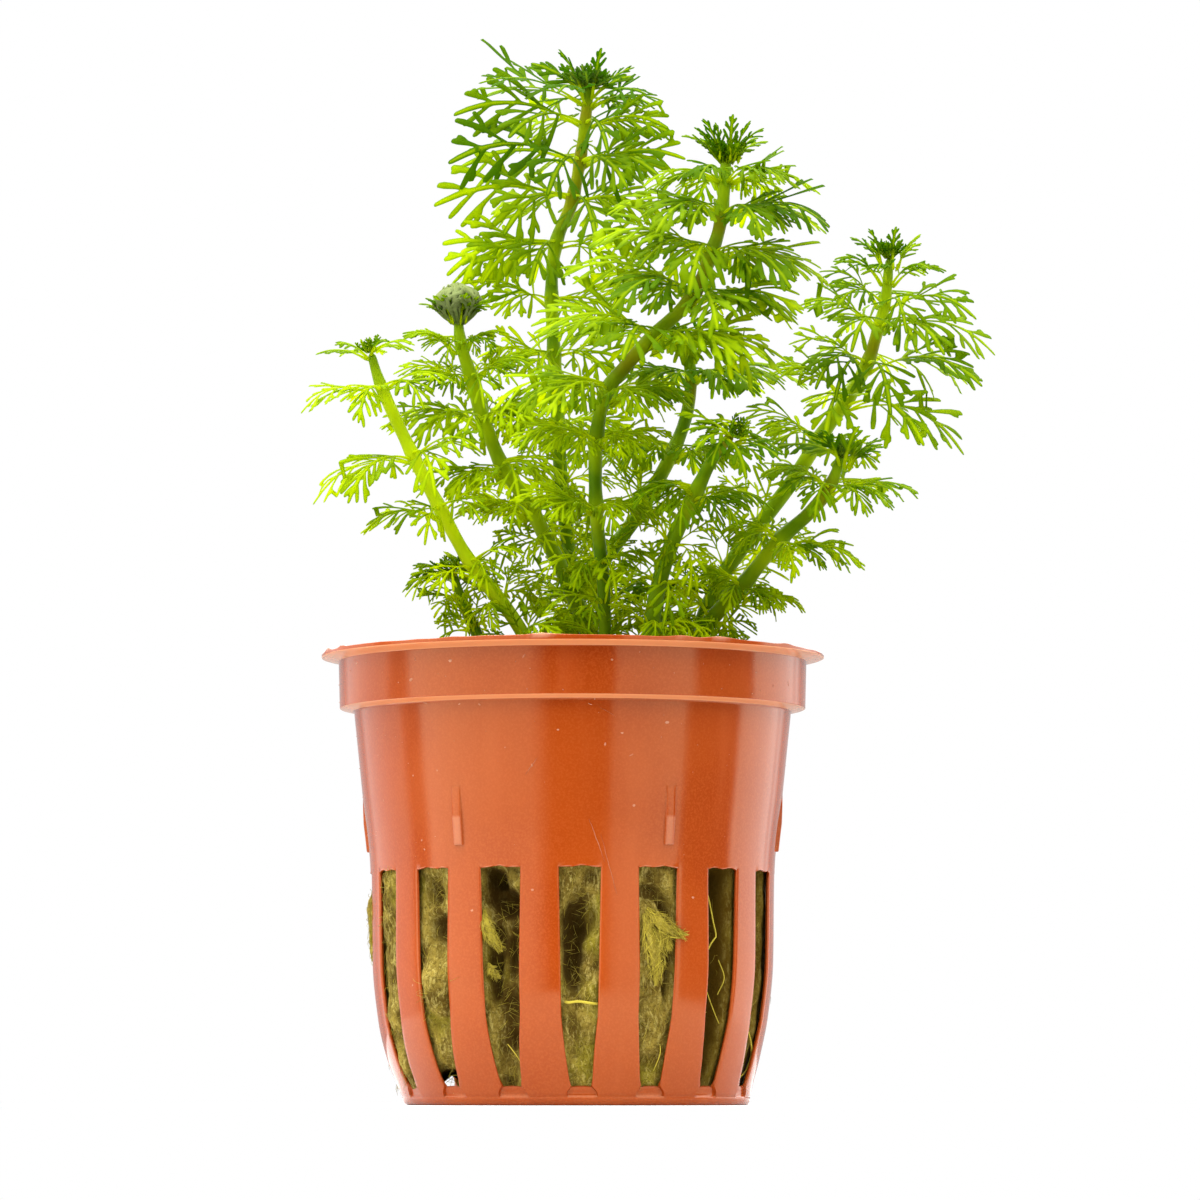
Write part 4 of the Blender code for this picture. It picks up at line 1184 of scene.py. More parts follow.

# %% [markdown]
# ## The colour of the wool
#
# Olive with yellow ends. Each point's depth below the pot's outside darkens it to
# brown, a painted shade in the hollows and recesses of the slots. It is browner and
# darker towards the right as well. Four layers of noise, one of them drawn out into
# streaks, give the matted look.

# %% Wool material
def wool_material():
    material, tree, shader, place = new_material("rock wool")
    patches = texture(tree, place, 330.0, Detail=5.0, Roughness=0.65)
    algae = texture(tree, place, 150.0, Detail=3.0)
    streaks = texture(tree, stretched(tree, place, (1.0, 1.0, 0.35)), 1900.0,
                      Detail=5.0, Roughness=0.7, Distortion=1.2)
    fine = texture(tree, place, 3600.0, Detail=4.0, Roughness=0.75)
    aside = tree.nodes.new("ShaderNodeSeparateXYZ")
    tree.links.new(place, aside.inputs["Vector"])
    body = coats(tree, (0.080, 0.050, 0.007),
                 (ramp(tree, patches, 0.36, 0.64), (0.28, 0.205, 0.034)),
                 (ramp(tree, algae, 0.50, 0.66, 0.0, 0.6), (0.235, 0.205, 0.014)),
                 (ramp(tree, streaks, 0.48, 0.66, 0.0, 0.62), (0.51, 0.42, 0.115)),
                 (ramp(tree, fine, 0.38, 0.52, 0.55, 0.0), (0.048, 0.028, 0.003)),
                 # Painted shade: the deeper a point lies below the pot's outside, the darker brown it is painted
                 (ramp(tree, number_at_point(tree, "deep"), 0.8, 2.3, 0.0, 0.9), (0.034, 0.016, 0.0012)),
                 # Darker brown towards the right
                 (ramp(tree, aside.outputs["X"], 0.007, 0.017, 0.0, 0.6), (0.085, 0.045, 0.0012)),
                 (number_at_point(tree, "yellow"), (0.60, 0.49, 0.055)))
    tree.links.new(body, shader.inputs["Base Color"])
    tree.links.new(ramp(tree, patches, 0.3, 0.7, 0.95, 0.75), shader.inputs["Roughness"])
    shader.inputs["Specular IOR Level"].default_value = 0.05
    add_bump(tree, shader, fine, 0.9, 0.16)
    return material


rock_wool = wool_material()


# How deep below the pot's outside a thread counts as lying, in mm
THREAD_DEPTH = 0.8


def threads(name, groups, first, stands_for=()):
    """One piece from a first mesh and groups of small meshes, each with its tint."""
    points, faces = put_together([first[:2]] + [part for parts, _, _ in groups for part in parts])
    deep = np.append(first[2], np.full(len(points) - len(first[0]), THREAD_DEPTH))
    yellow = [np.zeros(len(first[0]))] + [np.full(len(part[0]), dice.uniform(low, high))
                                          for parts, low, high in groups for part in parts]
    return make_piece(name, points, faces, rock_wool, "rock_wool", stands_for,
                      sharp=180.0, outward=True, deep=deep, yellow=np.concatenate(yellow))


NOTHING = (np.zeros((0, 3)), [], np.zeros(0))
wool = threads("matted_wool", ((tufts, 0.35, 0.75), (roots, 0.7, 0.95), (tuft_fibres, 0.1, 1.0)),
               (plug_points, plug_faces, plug_depth), ("rock_wool",))
loose = threads("loose_fibres", ((fibres, 0.05, 0.45),), NOTHING)
print("faces of the wool:", len(wool.data.polygons), "and of its loose fibres:", len(loose.data.polygons))

# %% [markdown]
# ## Reading the solids
#
# A stem's solid is a six-sided tube, so its rings give the line that the fine stem
# follows. A whorl's solid has seven kite leaves round one collar. The tip of a kite
# is the only corner that is farther out than all its neighbours. From it the two
# faces, the two sides and the stalk's end are found, and from those the curve that
# the real leaf follows and the way its blade faces.

# %% Read the stems and the leaves
def welded(node):
    """Corners in mm and the neighbours of each, with split corners joined."""
    shape = bmesh.new()
    shape.from_mesh(frame["nodes"][node].data)
    bmesh.ops.remove_doubles(shape, verts=shape.verts, dist=2e-6)
    points = np.array([corner.co for corner in shape.verts]) / MM
    beside = [[edge.other_vert(corner).index for edge in corner.link_edges] for corner in shape.verts]
    shape.free()
    return points, beside


STEM_SIDES = 6


def read_stem(node):
    """The middle and the radius of each ring of a stem's solid, from its foot up."""
    points, beside = welded(node)
    ring = list(np.argsort(points[:, 2])[:STEM_SIDES])
    seen = set(ring)
    middles, radii = [], []
    while ring:
        middle = points[ring].mean(0)
        middles.append(middle)
        radii.append(np.linalg.norm(points[ring] - middle, axis=1).mean())
        ring = sorted({other for corner in ring for other in beside[corner]} - seen)
        seen.update(ring)
    return np.array(middles), np.array(radii)


def read_whorl(node):
    """The collar's middle, its axis, and each leaf as the three points of its curve
    and the direction across its blade."""
    points, beside = welded(node)
    away = np.linalg.norm(points - points.mean(0), axis=1)
    kites = []
    for tip, near in enumerate(beside):
        if max(away[near]) >= away[tip]:
            continue
        hubs = min(combinations(near, 2), key=lambda pair: np.linalg.norm(points[pair[0]] - points[pair[1]]))
        sides = sorted(set(near) - set(hubs), key=lambda corner: away[corner])[-2:]
        stalks = [min(set(beside[side]) - set(hubs) - {tip}, key=lambda corner: away[corner])
                  for side in sides]
        kites.append((tip, *hubs, *sides, *stalks))
    rest = sorted(set(range(len(points))) - {corner for kite in kites for corner in kite})
    middle = points[rest].mean(0)
    axis = np.linalg.svd(points[rest] - middle)[2][-1]
    axis *= math.copysign(1.0, axis[2])
    leaves = []
    for tip, upper, lower, right, left, right_stalk, left_stalk in kites:
        stalk_end = (points[right_stalk] + points[left_stalk]) / 2.0
        hub = (points[upper] + points[lower]) / 2.0
        leaves.append((*curve_through(stalk_end, hub, points[tip]),
                       unit(points[right] - points[left])))
    leaves = [(root, bend, tip, across * math.copysign(1.0, across @ np.cross(axis, tip - middle)))
              for root, bend, tip, across in leaves]
    leaves.sort(key=lambda leaf: math.atan2(*(leaf[2] - middle)[1::-1]))
    return middle, axis, leaves


STALK_END_AT = 0.28
HUB_AT = 0.5


def curve_through(stalk_end, hub, tip):
    """Root and bend of the curve that passes two points on its way to the tip."""
    weights = [((1 - at) ** 2, 2 * at * (1 - at)) for at in (STALK_END_AT, HUB_AT)]
    known = [stalk_end - STALK_END_AT ** 2 * tip, hub - HUB_AT ** 2 * tip]
    root, bend = np.linalg.solve(np.array(weights), np.array(known))
    return root, bend, tip


shoots = sorted(name[5:] for name in frame["nodes"] if name.startswith("stem_"))
stems = {shoot: read_stem("stem_" + shoot) for shoot in shoots}
whorl_nodes = sorted(name for name in frame["nodes"] if name.startswith(("crown_", "whorl_")))
whorls = {node: read_whorl(node) for node in whorl_nodes}
for shoot in shoots:
    print("stem", shoot, "rings:", len(stems[shoot][0]), "foot radius:", round(stems[shoot][1][0], 2), "mm")
print("whorls:", len(whorls), "leaves read:", sum(len(leaves) for _, _, leaves in whorls.values()))

# %% [markdown]
# ## The stems
#
# A stem is soft, round and a little see-through, thicker at each joint where a whorl
# of leaves stands, and faintly ribbed between joints. It is palest just under a
# joint. On some shoots a few joints are stained brown. The line through
# the middles of the solid's rings is smoothed, and a ring of sixteen points is set
# along it every half millimetre, down into the wool.

# %% Grow the stems
STEM_STEP = 0.5
RING_POINTS = 16
JOINT_SWELL = 0.13
ROOT_DEPTH = 4.5
# The round stem's radius at the foot and at the tip, as shares of what its solid gives
SLIM = {"a": (0.72, 0.92), "b": (0.55, 0.95), "c": (0.80, 0.85), "d": (0.78, 0.88), "e": (0.72, 0.92),
        "f": (0.80, 0.88), "g": (0.78, 0.85), "h": (0.80, 0.85), "j": (0.75, 0.80), "m": (0.75, 0.80)}
# How much paler the whole of a shoot's stem is
PALER = {"e": 0.75, "d": 0.25, "c": 0.15, "m": 0.2}
# How far the end of the stem stays below the end of its solid, inside the bud, in mm
TOP_GAP = 0.7
# How much paler the skin is just under a joint, and how dark a stain is
PALE_AT_JOINT = 0.55
STAIN = 0.62
# Shoots and heights where the skin is stained brown, and over how many mm
STAINS = {"a": ((101.2, 3.2), (106.0, 1.6), (110.5, 1.2)), "b": ((88.5, 3.0), (80.0, 1.6), (95.0, 1.2)),
          "c": ((84.0, 1.5),), "f": ((66.0, 1.6),), "g": ((71.0, 1.6),), "h": ((80.0, 1.4),)}


def joints_of(shoot):
    """Heights at which a shoot carries leaves."""
    return sorted(float(whorls[node][0][2]) for node in whorl_nodes if node.endswith("_" + shoot))


def stem_radius_at(shoot, height):
    middles, radii = stems[shoot]
    share = np.clip((height - middles[0, 2]) / (middles[-1, 2] - middles[0, 2]), 0.0, 1.0)
    slim = SLIM[shoot][0] + share * (SLIM[shoot][1] - SLIM[shoot][0])
    return slim * np.interp(height, middles[:, 2], radii)


def grow_stem(shoot):
    middles = stems[shoot][0]
    way_down = unit(middles[0] - middles[1])
    middles = np.vstack([middles[0] + way_down * ROOT_DEPTH, middles])
    length = np.linalg.norm(np.diff(middles, axis=0), axis=1).sum()
    line = smooth_line(middles, int(length / STEM_STEP))
    line = line[line[:, 2] < middles[-1, 2] - TOP_GAP]
    radius = stem_radius_at(shoot, line[:, 2])
    radius *= 1.0 - 0.40 * np.exp(-(line[-1, 2] - line[:, 2]) / 2.5)
    pale, stain = np.full(len(line), PALER.get(shoot, 0.0)), np.zeros(len(line))
    for joint in joints_of(shoot):
        away = line[:, 2] - joint
        radius *= 1.0 + JOINT_SWELL * np.exp(-(away / 0.9) ** 2) - 0.05 * np.exp(-((away - 2.4) / 1.2) ** 2)
        pale += PALE_AT_JOINT * np.exp(-((away + 1.4) / 1.7) ** 2)
    for height, spread in STAINS.get(shoot, ()):
        stain += STAIN * np.exp(-((line[:, 2] - height) / spread) ** 2)
    pale *= np.clip((line[-1, 2] - line[:, 2]) / 8.0, 0.0, 1.0)
    ends = np.clip((len(line) - 1 - np.arange(len(line))) / 2.0, 0.0, 1.0)
    radius *= np.sqrt(np.clip(1.0 - (1.0 - ends) ** 2, 0.04, 1.0))
    points, faces = tube(line, radius, RING_POINTS)
    ring = np.tile(np.arange(RING_POINTS), len(line))
    middle = np.repeat(line, RING_POINTS, axis=0)
    ribs = 1.0 + 0.030 * np.cos(ring * 2.0 * math.pi * 4.0 / RING_POINTS + 0.08 * middle[:, 2])
    points = middle + (points - middle) * ribs[:, None]
    # Painted shade: the stem is painted darker towards its foot
    shade = np.clip((62.0 - line[:, 2]) / 16.0, 0.0, 1.0)
    numbers = {"pale": pale, "stain": stain, "shade": shade}
    return points, faces, {title: np.repeat(np.clip(values, 0.0, 1.0), RING_POINTS)
                           for title, values in numbers.items()}


def stem_material():
    material, tree, shader, place = new_material("stem skin")
    along = texture(tree, stretched(tree, place, (1.0, 1.0, 0.10)), 1500.0, Detail=3.0)
    patches = texture(tree, place, 300.0, Detail=3.0)
    cells = texture(tree, stretched(tree, place, (1.0, 1.0, 0.3)), 3200.0)
    # Painted shade towards the stem's foot
    shade = ramp(tree, number_at_point(tree, "shade"), 0.0, 1.0, 0.0, 0.75)
    body = coats(tree, (0.072, 0.160, 0.0006),
                 (ramp(tree, patches, 0.35, 0.65), (0.140, 0.250, 0.0008)),
                 (ramp(tree, along, 0.45, 0.75, 0.0, 0.6), (0.07, 0.15, 0.0008)),
                 (number_at_point(tree, "pale"), (0.37, 0.49, 0.001)),
                 (shade, (0.075, 0.14, 0.001)),
                 (number_at_point(tree, "stain"), (0.150, 0.105, 0.002)))
    tree.links.new(body, shader.inputs["Base Color"])
    tree.links.new(ramp(tree, patches, 0.3, 0.7, 0.36, 0.50), shader.inputs["Roughness"])
    shader.inputs["Specular IOR Level"].default_value = 0.08
    shader.inputs["Specular Tint"].default_value = (0.9, 1.0, 0.3, 1.0)
    shader.inputs["Subsurface Weight"].default_value = 0.30
    shader.inputs["Subsurface Radius"].default_value = (0.7, 0.9, 0.05)
    shader.inputs["Subsurface Scale"].default_value = 0.0009
    add_bump(tree, shader, cells, 0.3, 0.03)
    return material


stem_skin = stem_material()
stem_pieces = []
for shoot in shoots:
    points, faces, numbers = grow_stem(shoot)
    stem_pieces.append(make_piece("shoot_" + shoot, points, faces, stem_skin, "stem", ("stem_" + shoot,),
                                  sharp=180.0, outward=True, **numbers))
print("stems:", len(stem_pieces), "faces:", sum(len(item.data.polygons) for item in stem_pieces))

# %% [markdown]
# ## A leaf, drawn flat
#
# A leaf of this plant is cut like a feather: a stalk, three to five pairs of long lobes
# that point forward, and short teeth near the ends of the lobes. Every lobe is narrow
# where it starts and blunt and round where it ends, and the cuts between lobes end
# in small round bays. Drawing such an outline point by point would be slow and
# stiff. Instead each lobe is a bent line with a half width, and the distance to the
# nearest lobe says for every place on a fine grid whether it is inside. The outline
# is where that distance is zero.

# %% Lobes of a leaf
# A grown leaf. Widths are shares of the way along and half widths, all for a leaf
# of length 1. Each pair of lobes has a start, a length and an angle in degrees, and
# each tooth a place on its lobe, a side (1 is away from the midrib) and a length.
GROWN = {
    "stalk": ((0.0, 0.024), (0.12, 0.018), (0.30, 0.018), (0.55, 0.022), (0.8, 0.024), (0.93, 0.028), (1.0, 0.020)),
    "lobe": ((0.0, 0.013), (0.35, 0.018), (0.75, 0.028), (1.0, 0.021)),
    "tooth": ((0.0, 0.011), (0.7, 0.022), (1.0, 0.017)),
    "pairs": ((0.22, 0.50, 42.0), (0.37, 0.46, 40.0), (0.52, 0.38, 37.0), (0.67, 0.28, 34.0), (0.81, 0.17, 31.0)),
    "teeth": (((0.42, 1, 0.36), (0.70, 1, 0.20)), ((0.46, 1, 0.34),), ((0.50, 1, 0.32),),
              ((0.56, 1, 0.28),), ()),
}
# A leaf that has had room grows broad lobes with hardly a tooth
BROAD = {
    "stalk": ((0.0, 0.022), (0.15, 0.014), (0.42, 0.014), (0.6, 0.021), (0.8, 0.026), (0.93, 0.030), (1.0, 0.021)),
    "lobe": ((0.0, 0.012), (0.35, 0.016), (0.75, 0.030), (1.0, 0.023)),
    "tooth": ((0.0, 0.011), (0.7, 0.024), (1.0, 0.019)),
    "pairs": ((0.31, 0.48, 49.0), (0.50, 0.40, 45.0), (0.69, 0.27, 40.0)),
    "teeth": (((0.42, 1, 0.42), (0.68, -1, 0.24)), ((0.48, 1, 0.38), (0.74, -1, 0.20)), ((0.55, 1, 0.32),)),
}
# A young leaf has fewer lobes, and broad ones for its length
YOUNG = {
    "stalk": ((0.0, 0.050), (0.2, 0.040), (0.5, 0.055), (0.9, 0.052), (1.0, 0.040)),
    "lobe": ((0.0, 0.030), (0.7, 0.047), (1.0, 0.036)),
    "tooth": ((0.0, 0.028), (0.7, 0.038), (1.0, 0.030)),
    "pairs": ((0.26, 0.40, 46.0), (0.48, 0.35, 39.0), (0.70, 0.22, 33.0)),
    "teeth": (((0.50, 1, 0.42),), ((0.58, 1, 0.36),), ()),
}
TOOTH_MISSING = 0.30


def bent_lobe(root, heading, length, widths, bend, steps):
    """Points along a bent line, and the lobe's half width at each."""
    points = [np.array(root, float)]
    for step in range(steps):
        angle = heading + bend * (step + 0.5) / steps
        points.append(points[-1] + length / steps * np.array((math.cos(angle), math.sin(angle))))
    return np.array(points), np.interp(np.linspace(0.0, 1.0, steps + 1), *zip(*widths))


def leaf_lobes(dice, plan):
    """All lobes of one leaf of length 1: line, half widths, lobe number and the
    distance from the midrib at which the line starts."""
    sway = dice.uniform(-0.06, 0.06)
    midrib = bent_lobe((0.0, 0.0), -sway, 1.0 - plan["stalk"][-1][1], plan["stalk"], 2.0 * sway, 8)
    lobes = [(*midrib, 0, 0.0)]
    number = 0
    for (start, size, angle), teeth in zip(plan["pairs"], plan["teeth"]):
        for side in (1.0, -1.0):
            number += 1
            at = start + dice.uniform(-0.02, 0.02) + 0.02 * side
            root = (at, np.interp(at, midrib[0][:, 0], midrib[0][:, 1]))
            length = size * dice.uniform(0.85, 1.08)
            turn = math.radians(angle + dice.uniform(-4.0, 4.0))
            bend = -math.radians(dice.uniform(4.0, 16.0))
            line, halves = bent_lobe(root, side * turn, length, plan["lobe"], side * bend, 5)
            lobes.append((line, halves, number, 0.0))
            for share, way, part in teeth:
                if dice.random() < TOOTH_MISSING:
                    continue
                share += dice.uniform(-0.05, 0.05)
                place = share * (len(line) - 1)
                step = int(place)
                foot = line[step] + (place - step) * (line[step + 1] - line[step])
                aim = side * (turn + bend * share + way * math.radians(dice.uniform(30.0, 42.0)))
                tooth = bent_lobe(foot, aim, length * part * dice.uniform(0.85, 1.15),
                                  plan["tooth"], -0.3 * side * way, 3)
                lobes.append((*tooth, number, share * length))
    return lobes


# How round the corners between lobes are, and a distance farther than any on a leaf
BAY = 0.004
FAR = 9.0


def distance_to_lobe(places, line, halves):
    """Distance from each place to the edge of one lobe, and how far along it is."""
    runs = np.diff(line, axis=0)
    away = places[:, None] - line[:-1]
    share = np.clip((away * runs).sum(2) / (runs ** 2).sum(1), 0.0, 1.0)
    gap = np.linalg.norm(away - share[..., None] * runs, axis=2)
    gap -= halves[:-1] + share * np.diff(halves)
    best = gap.argmin(1)
    rows = np.arange(len(places))
    return gap[rows, best], (best + share[rows, best]) * np.linalg.norm(runs[0])


def distance_to_leaf(places, lobes):
    """The same to the whole leaf, with the corners between lobes rounded."""
    total = np.full(len(places), FAR)
    for line, halves, _, _ in lobes:
        near = distance_to_lobe(places, line, halves)[0]
        mix = np.clip(0.5 + 0.5 * (total - near) / BAY, 0.0, 1.0)
        total = total * (1.0 - mix) + near * mix - BAY * mix * (1.0 - mix)
    return total


dice = random.Random(11)
first_leaf = leaf_lobes(dice, GROWN)
print("lobes and teeth of the first leaf:", len(first_leaf))

# %% [markdown]
# ## Its outline
#
# The grid is walked triangle by triangle: wherever one corner is inside and one is
# outside, the outline passes between them, and the pieces join into closed loops.
# The loops are then set out afresh with more points where they bend, so that a few
# points still give round tips.

# %% Outline of a leaf
# The grid that a leaf is drawn on: its spacing, where it starts and ends along the
# leaf, and how far it goes to both sides
GRID = 0.010
GRID_ALONG = (-0.06, 1.07)
GRID_ASIDE = 0.54


def outline_loops(lobes):
    """Closed loops of points where the distance to the leaf is zero."""
    across = np.arange(*GRID_ALONG, GRID)
    up = np.arange(-GRID_ASIDE, GRID_ASIDE, GRID)
    places = np.stack([axis.ravel() for axis in np.meshgrid(across, up)], axis=1)
    gap = distance_to_leaf(places, lobes).reshape(len(up), len(across))
    inside = gap < 0.0
    corners = inside[:-1, :-1] * 1 + inside[1:, :-1] + inside[:-1, 1:] + inside[1:, 1:]
    follows, points = {}, {}

    def crossing(first, second):
        key = (first, second) if first < second else (second, first)
        low, high = key
        share = gap[low] / (gap[low] - gap[high])
        points[key] = (across[low[1]] + share * GRID * (high[1] - low[1]),
                       up[low[0]] + share * GRID * (high[0] - low[0]))
        return key

    for row, column in np.argwhere((corners > 0) & (corners < 4)).tolist():
        square = ((row, column), (row, column + 1), (row + 1, column + 1), (row + 1, column))
        for triangle in (square[:3], (square[0], square[2], square[3])):
            leaving = entering = None
            for first, second in zip(triangle, triangle[1:] + triangle[:1]):
                if inside[first] and not inside[second]:
                    leaving = crossing(first, second)
                if inside[second] and not inside[first]:
                    entering = crossing(first, second)
            if leaving:
                follows[leaving] = entering
    loops = []
    while follows:
        key = next(iter(follows))
        walk = []
        while key in follows:
            walk.append(points[key])
            key = follows.pop(key)
        loops.append(np.array(walk))
    return loops


def even_out(loop, straight, turn):
    """The loop with a point for every straight stretch or turn of that size."""
    for _ in range(3):
        loop = 0.5 * loop + 0.25 * (np.roll(loop, 1, 0) + np.roll(loop, -1, 0))
    runs = np.roll(loop, -1, 0) - loop
    angles = np.arctan2(runs[:, 1], runs[:, 0])
    turns = np.abs((angles - np.roll(angles, 1) + math.pi) % (2.0 * math.pi) - math.pi)
    for _ in range(2):
        turns = 0.5 * turns + 0.25 * (np.roll(turns, 1) + np.roll(turns, -1))
    cost = np.append(0.0, np.cumsum(np.linalg.norm(runs, axis=1) / straight + turns / turn))
    count = max(6, round(cost[-1]))
    wanted = np.arange(count) * cost[-1] / count
    closed = np.vstack([loop, loop[:1]])
    return np.stack([np.interp(wanted, cost, closed[:, axis]) for axis in (0, 1)], axis=1)


def is_inside(places, loops):
    """True for places that an odd number of outline edges lie to the right of."""
    result = np.zeros(len(places), bool)
    for loop in loops:
        ends = np.roll(loop, -1, 0)
        level = places[:, 1:]
        straddles = (loop[:, 1] > level) != (ends[:, 1] > level)
        rise = np.where(ends[:, 1] == loop[:, 1], 1.0, ends[:, 1] - loop[:, 1])
        reach = loop[:, 0] + (level - loop[:, 1]) * (ends[:, 0] - loop[:, 0]) / rise
        result ^= ((straddles & (places[:, :1] < reach)).sum(1) % 2).astype(bool)
    return result


print("points on the first leaf's outline:", sum(len(loop) for loop in outline_loops(first_leaf)))

# %% [markdown]
# ## Its skin
#
# A leaf with points only at its rim would fill with long slivers that can't bend. So
# points along the lobes' middles are added, and Blender's own triangulation joins
# them to the rim. Each kind of leaf gets several patterns, so that neighbours differ.

# %% Fill the leaves
# Shorter loops than this are specks, not bays
LEAST_LOOP = 16
# A point nearer to the rim than this would make needles of triangles
LEAST_DEPTH = 0.009


def middle_points(lobes, spacing):
    """Points along the middles of the lobes, ending at each round tip's centre."""
    chosen = []
    for line, _, _, _ in lobes:
        along = np.append(0.0, np.cumsum(np.linalg.norm(np.diff(line, axis=0), axis=1)))
        count = max(2, round(along[-1] / spacing) + 1)
        for at in np.linspace(along[-1], 0.3 * spacing, count):
            point = np.array([np.interp(at, along, line[:, axis]) for axis in (0, 1)])
            if all(np.linalg.norm(point - other) > 0.55 * spacing for other in chosen):
                chosen.append(point)
    return np.array(chosen)


def depth_inside(points, loops):
    """Distance from each point to the nearest stretch of the outline."""
    nearest = np.full(len(points), FAR)
    for loop in loops:
        runs = np.roll(loop, -1, 0) - loop
        away = points[:, None] - loop
        share = np.clip((away * runs).sum(2) / (runs ** 2).sum(1), 0.0, 1.0)
        nearest = np.minimum(nearest, np.linalg.norm(away - share[..., None] * runs, axis=2).min(1))
    return nearest


def fill_outline(loops, middles):
    """Triangles that fill the loops. No edge inside joins two points of the rim,
    because the two skins of the leaf would touch along it."""
    rim = np.vstack(loops)
    edges, start = [], 0
    for loop in loops:
        count = len(loop)
        edges += [(start + index, start + (index + 1) % count) for index in range(count)]
        start += count
    border = {tuple(sorted(edge)) for edge in edges}
    points = np.vstack([rim, middles])
    for _ in range(6):
        filled = delaunay_2d_cdt([tuple(point) for point in points], edges, [], 0, 1e-7)
        points = np.array([tuple(point) for point in filled[0]])
        triangles = np.array(filled[2])
        triangles = triangles[is_inside(points[triangles].mean(1), loops)]
        sides = np.sort(np.vstack([triangles[:, [0, 1]], triangles[:, [1, 2]], triangles[:, [2, 0]]]), axis=1)
        sides = np.unique(sides[sides[:, 1] < len(rim)], axis=0)
        bridges = [side for side in sides.tolist() if tuple(side) not in border]
        if not bridges:
            break
        points = np.vstack([points, points[bridges].mean(1)])
    return points, triangles


def flat_leaf(dice, plan, spacing, straight, turn):
    """One leaf drawn flat: points, triangles, how many points are on the rim, and
    for each point its depth inside, its lobe and its distance along that lobe."""
    lobes = leaf_lobes(dice, plan)
    loops = [even_out(loop, straight, turn) for loop in outline_loops(lobes) if len(loop) > LEAST_LOOP]
    middles = middle_points(lobes, spacing)
    middles = middles[is_inside(middles, loops) & (depth_inside(middles, loops) > LEAST_DEPTH)]
    points, triangles = fill_outline(loops, middles)
    rim = sum(len(loop) for loop in loops)
    depth = depth_inside(points, loops)
    depth[:rim] = 0.0
    gaps, alongs = zip(*(distance_to_lobe(points, line, halves) for line, halves, _, _ in lobes))
    nearest = np.argmin(gaps, axis=0)
    number = np.array([lobe[2] for lobe in lobes])[nearest]
    along = np.array(alongs)[nearest, np.arange(len(points))] + np.array([lobe[3] for lobe in lobes])[nearest]
    return {"points": points, "triangles": triangles, "rim": rim, "depth": depth,
            "lobe": number, "along": np.where(number > 0, along, 0.0)}


fine_patterns = [flat_leaf(dice, GROWN, 0.06, 0.095, 0.80) for _ in range(10)]
broad_patterns = [flat_leaf(dice, BROAD, 0.06, 0.11, 0.80) for _ in range(8)]
low_patterns = [flat_leaf(dice, GROWN if index % 3 == 0 else BROAD, 0.09, 0.15, 1.0) for index in range(9)]
young_patterns = [flat_leaf(dice, YOUNG, 0.09, 0.13, 0.85) for _ in range(6)]
bud_patterns = [flat_leaf(dice, YOUNG, 0.14, 0.20, 1.15) for _ in range(6)]
for title, patterns in (("fine", fine_patterns), ("broad", broad_patterns), ("low", low_patterns),
                        ("young", young_patterns), ("bud", bud_patterns)):
    print(title, "leaves, triangles on one side:", [len(leaf["triangles"]) for leaf in patterns])

# %% [markdown]
# ## A leaf, bent to its place
#
# The flat leaf is laid along the curve that its solid gave, so it arches away from the
# stem and sinks at its tip. Its sides droop a little, and each lobe tips up or down
# by itself. The skin is made twice, a tenth of a millimetre above and below, and the
# two meet at the rim, so a leaf is a thin closed lens like the real blade.

# %% Bend a leaf
# Half the thickness of the blade and of the stalk's foot in mm, where the stalk ends,
# and the width of the rounded rim, both as shares of the leaf's length
BLADE_HALF = 0.10
STALK_HALF = 0.20
STALK_END = 0.24
RIM_WIDTH = 0.020


def bend_leaf(pattern, curve, across, dice, inward, flip, tilt=0.11, droop=0.04):
    """Points and faces of one leaf, with its numbers for the material. inward is how
    far the stalk goes on past the curve's root, as a share of the curve."""
    root, bend, tip = curve
    size = np.linalg.norm(tip - root)
    share = pattern["points"][:, 0]
    aside = pattern["points"][:, 1] * flip
    at = (-inward + (1.0 + inward) * share)[:, None]
    line = (1 - at) ** 2 * root + 2 * at * (1 - at) * bend + at ** 2 * tip
    way = 2 * (1 - at) * (bend - root) + 2 * at * (tip - bend)
    above = np.cross(way / np.linalg.norm(way, axis=1, keepdims=True), across)
    above /= np.linalg.norm(above, axis=1, keepdims=True)
    lobes = int(pattern["lobe"].max())
    tilts = np.array([0.0] + [dice.gauss(0.0, tilt) for _ in range(lobes)])
    curls = np.array([0.0] + [dice.gauss(-0.10, 0.45) for _ in range(lobes)])
    lift = tilts[pattern["lobe"]] * pattern["along"] + curls[pattern["lobe"]] * pattern["along"] ** 2
    lift = (lift - droop * np.abs(aside)) * size
    middle = line + across * (aside * size)[:, None] + above * lift[:, None]
    stalk = np.clip((STALK_END - share) / STALK_END, 0.0, 1.0)
    half = BLADE_HALF + (STALK_HALF - BLADE_HALF) * stalk
    round_off = np.clip(pattern["depth"] / RIM_WIDTH, 0.0, 1.0)
    half = half * np.sqrt(1.0 - (1.0 - round_off) ** 2)
    rim = pattern["rim"]
    upper = middle + above * half[:, None]
    lower = (middle - above * half[:, None])[rim:]
    points = np.vstack([upper, lower])
    triangles = pattern["triangles"][:, ::int(flip)] if flip < 0 else pattern["triangles"]
    under = np.where(triangles >= rim, triangles + len(lower), triangles)[:, ::-1]
    shade = np.append(round_off, round_off[rim:])
    out = np.append(share, share[rim:])
    on_rib = round_off * (pattern["lobe"] == 0)
    return points, np.vstack([triangles, under]), shade, out, np.append(on_rib, on_rib[rim:])


def bush(parts):
    """Several leaves as one mesh: points, faces and numbers put one after another."""
    points, faces, start = [], [], 0
    for part in parts:
        points.append(part[0])
        faces.append(part[1] + start)
        start += len(part[0])
    numbers = [np.concatenate([part[index] for part in parts]) for index in range(2, len(parts[0]))]
    return np.vstack(points), np.vstack(faces), numbers


print("thickness of a blade:", 2.0 * BLADE_HALF, "mm, of a stalk's foot:", 2.0 * STALK_HALF, "mm")

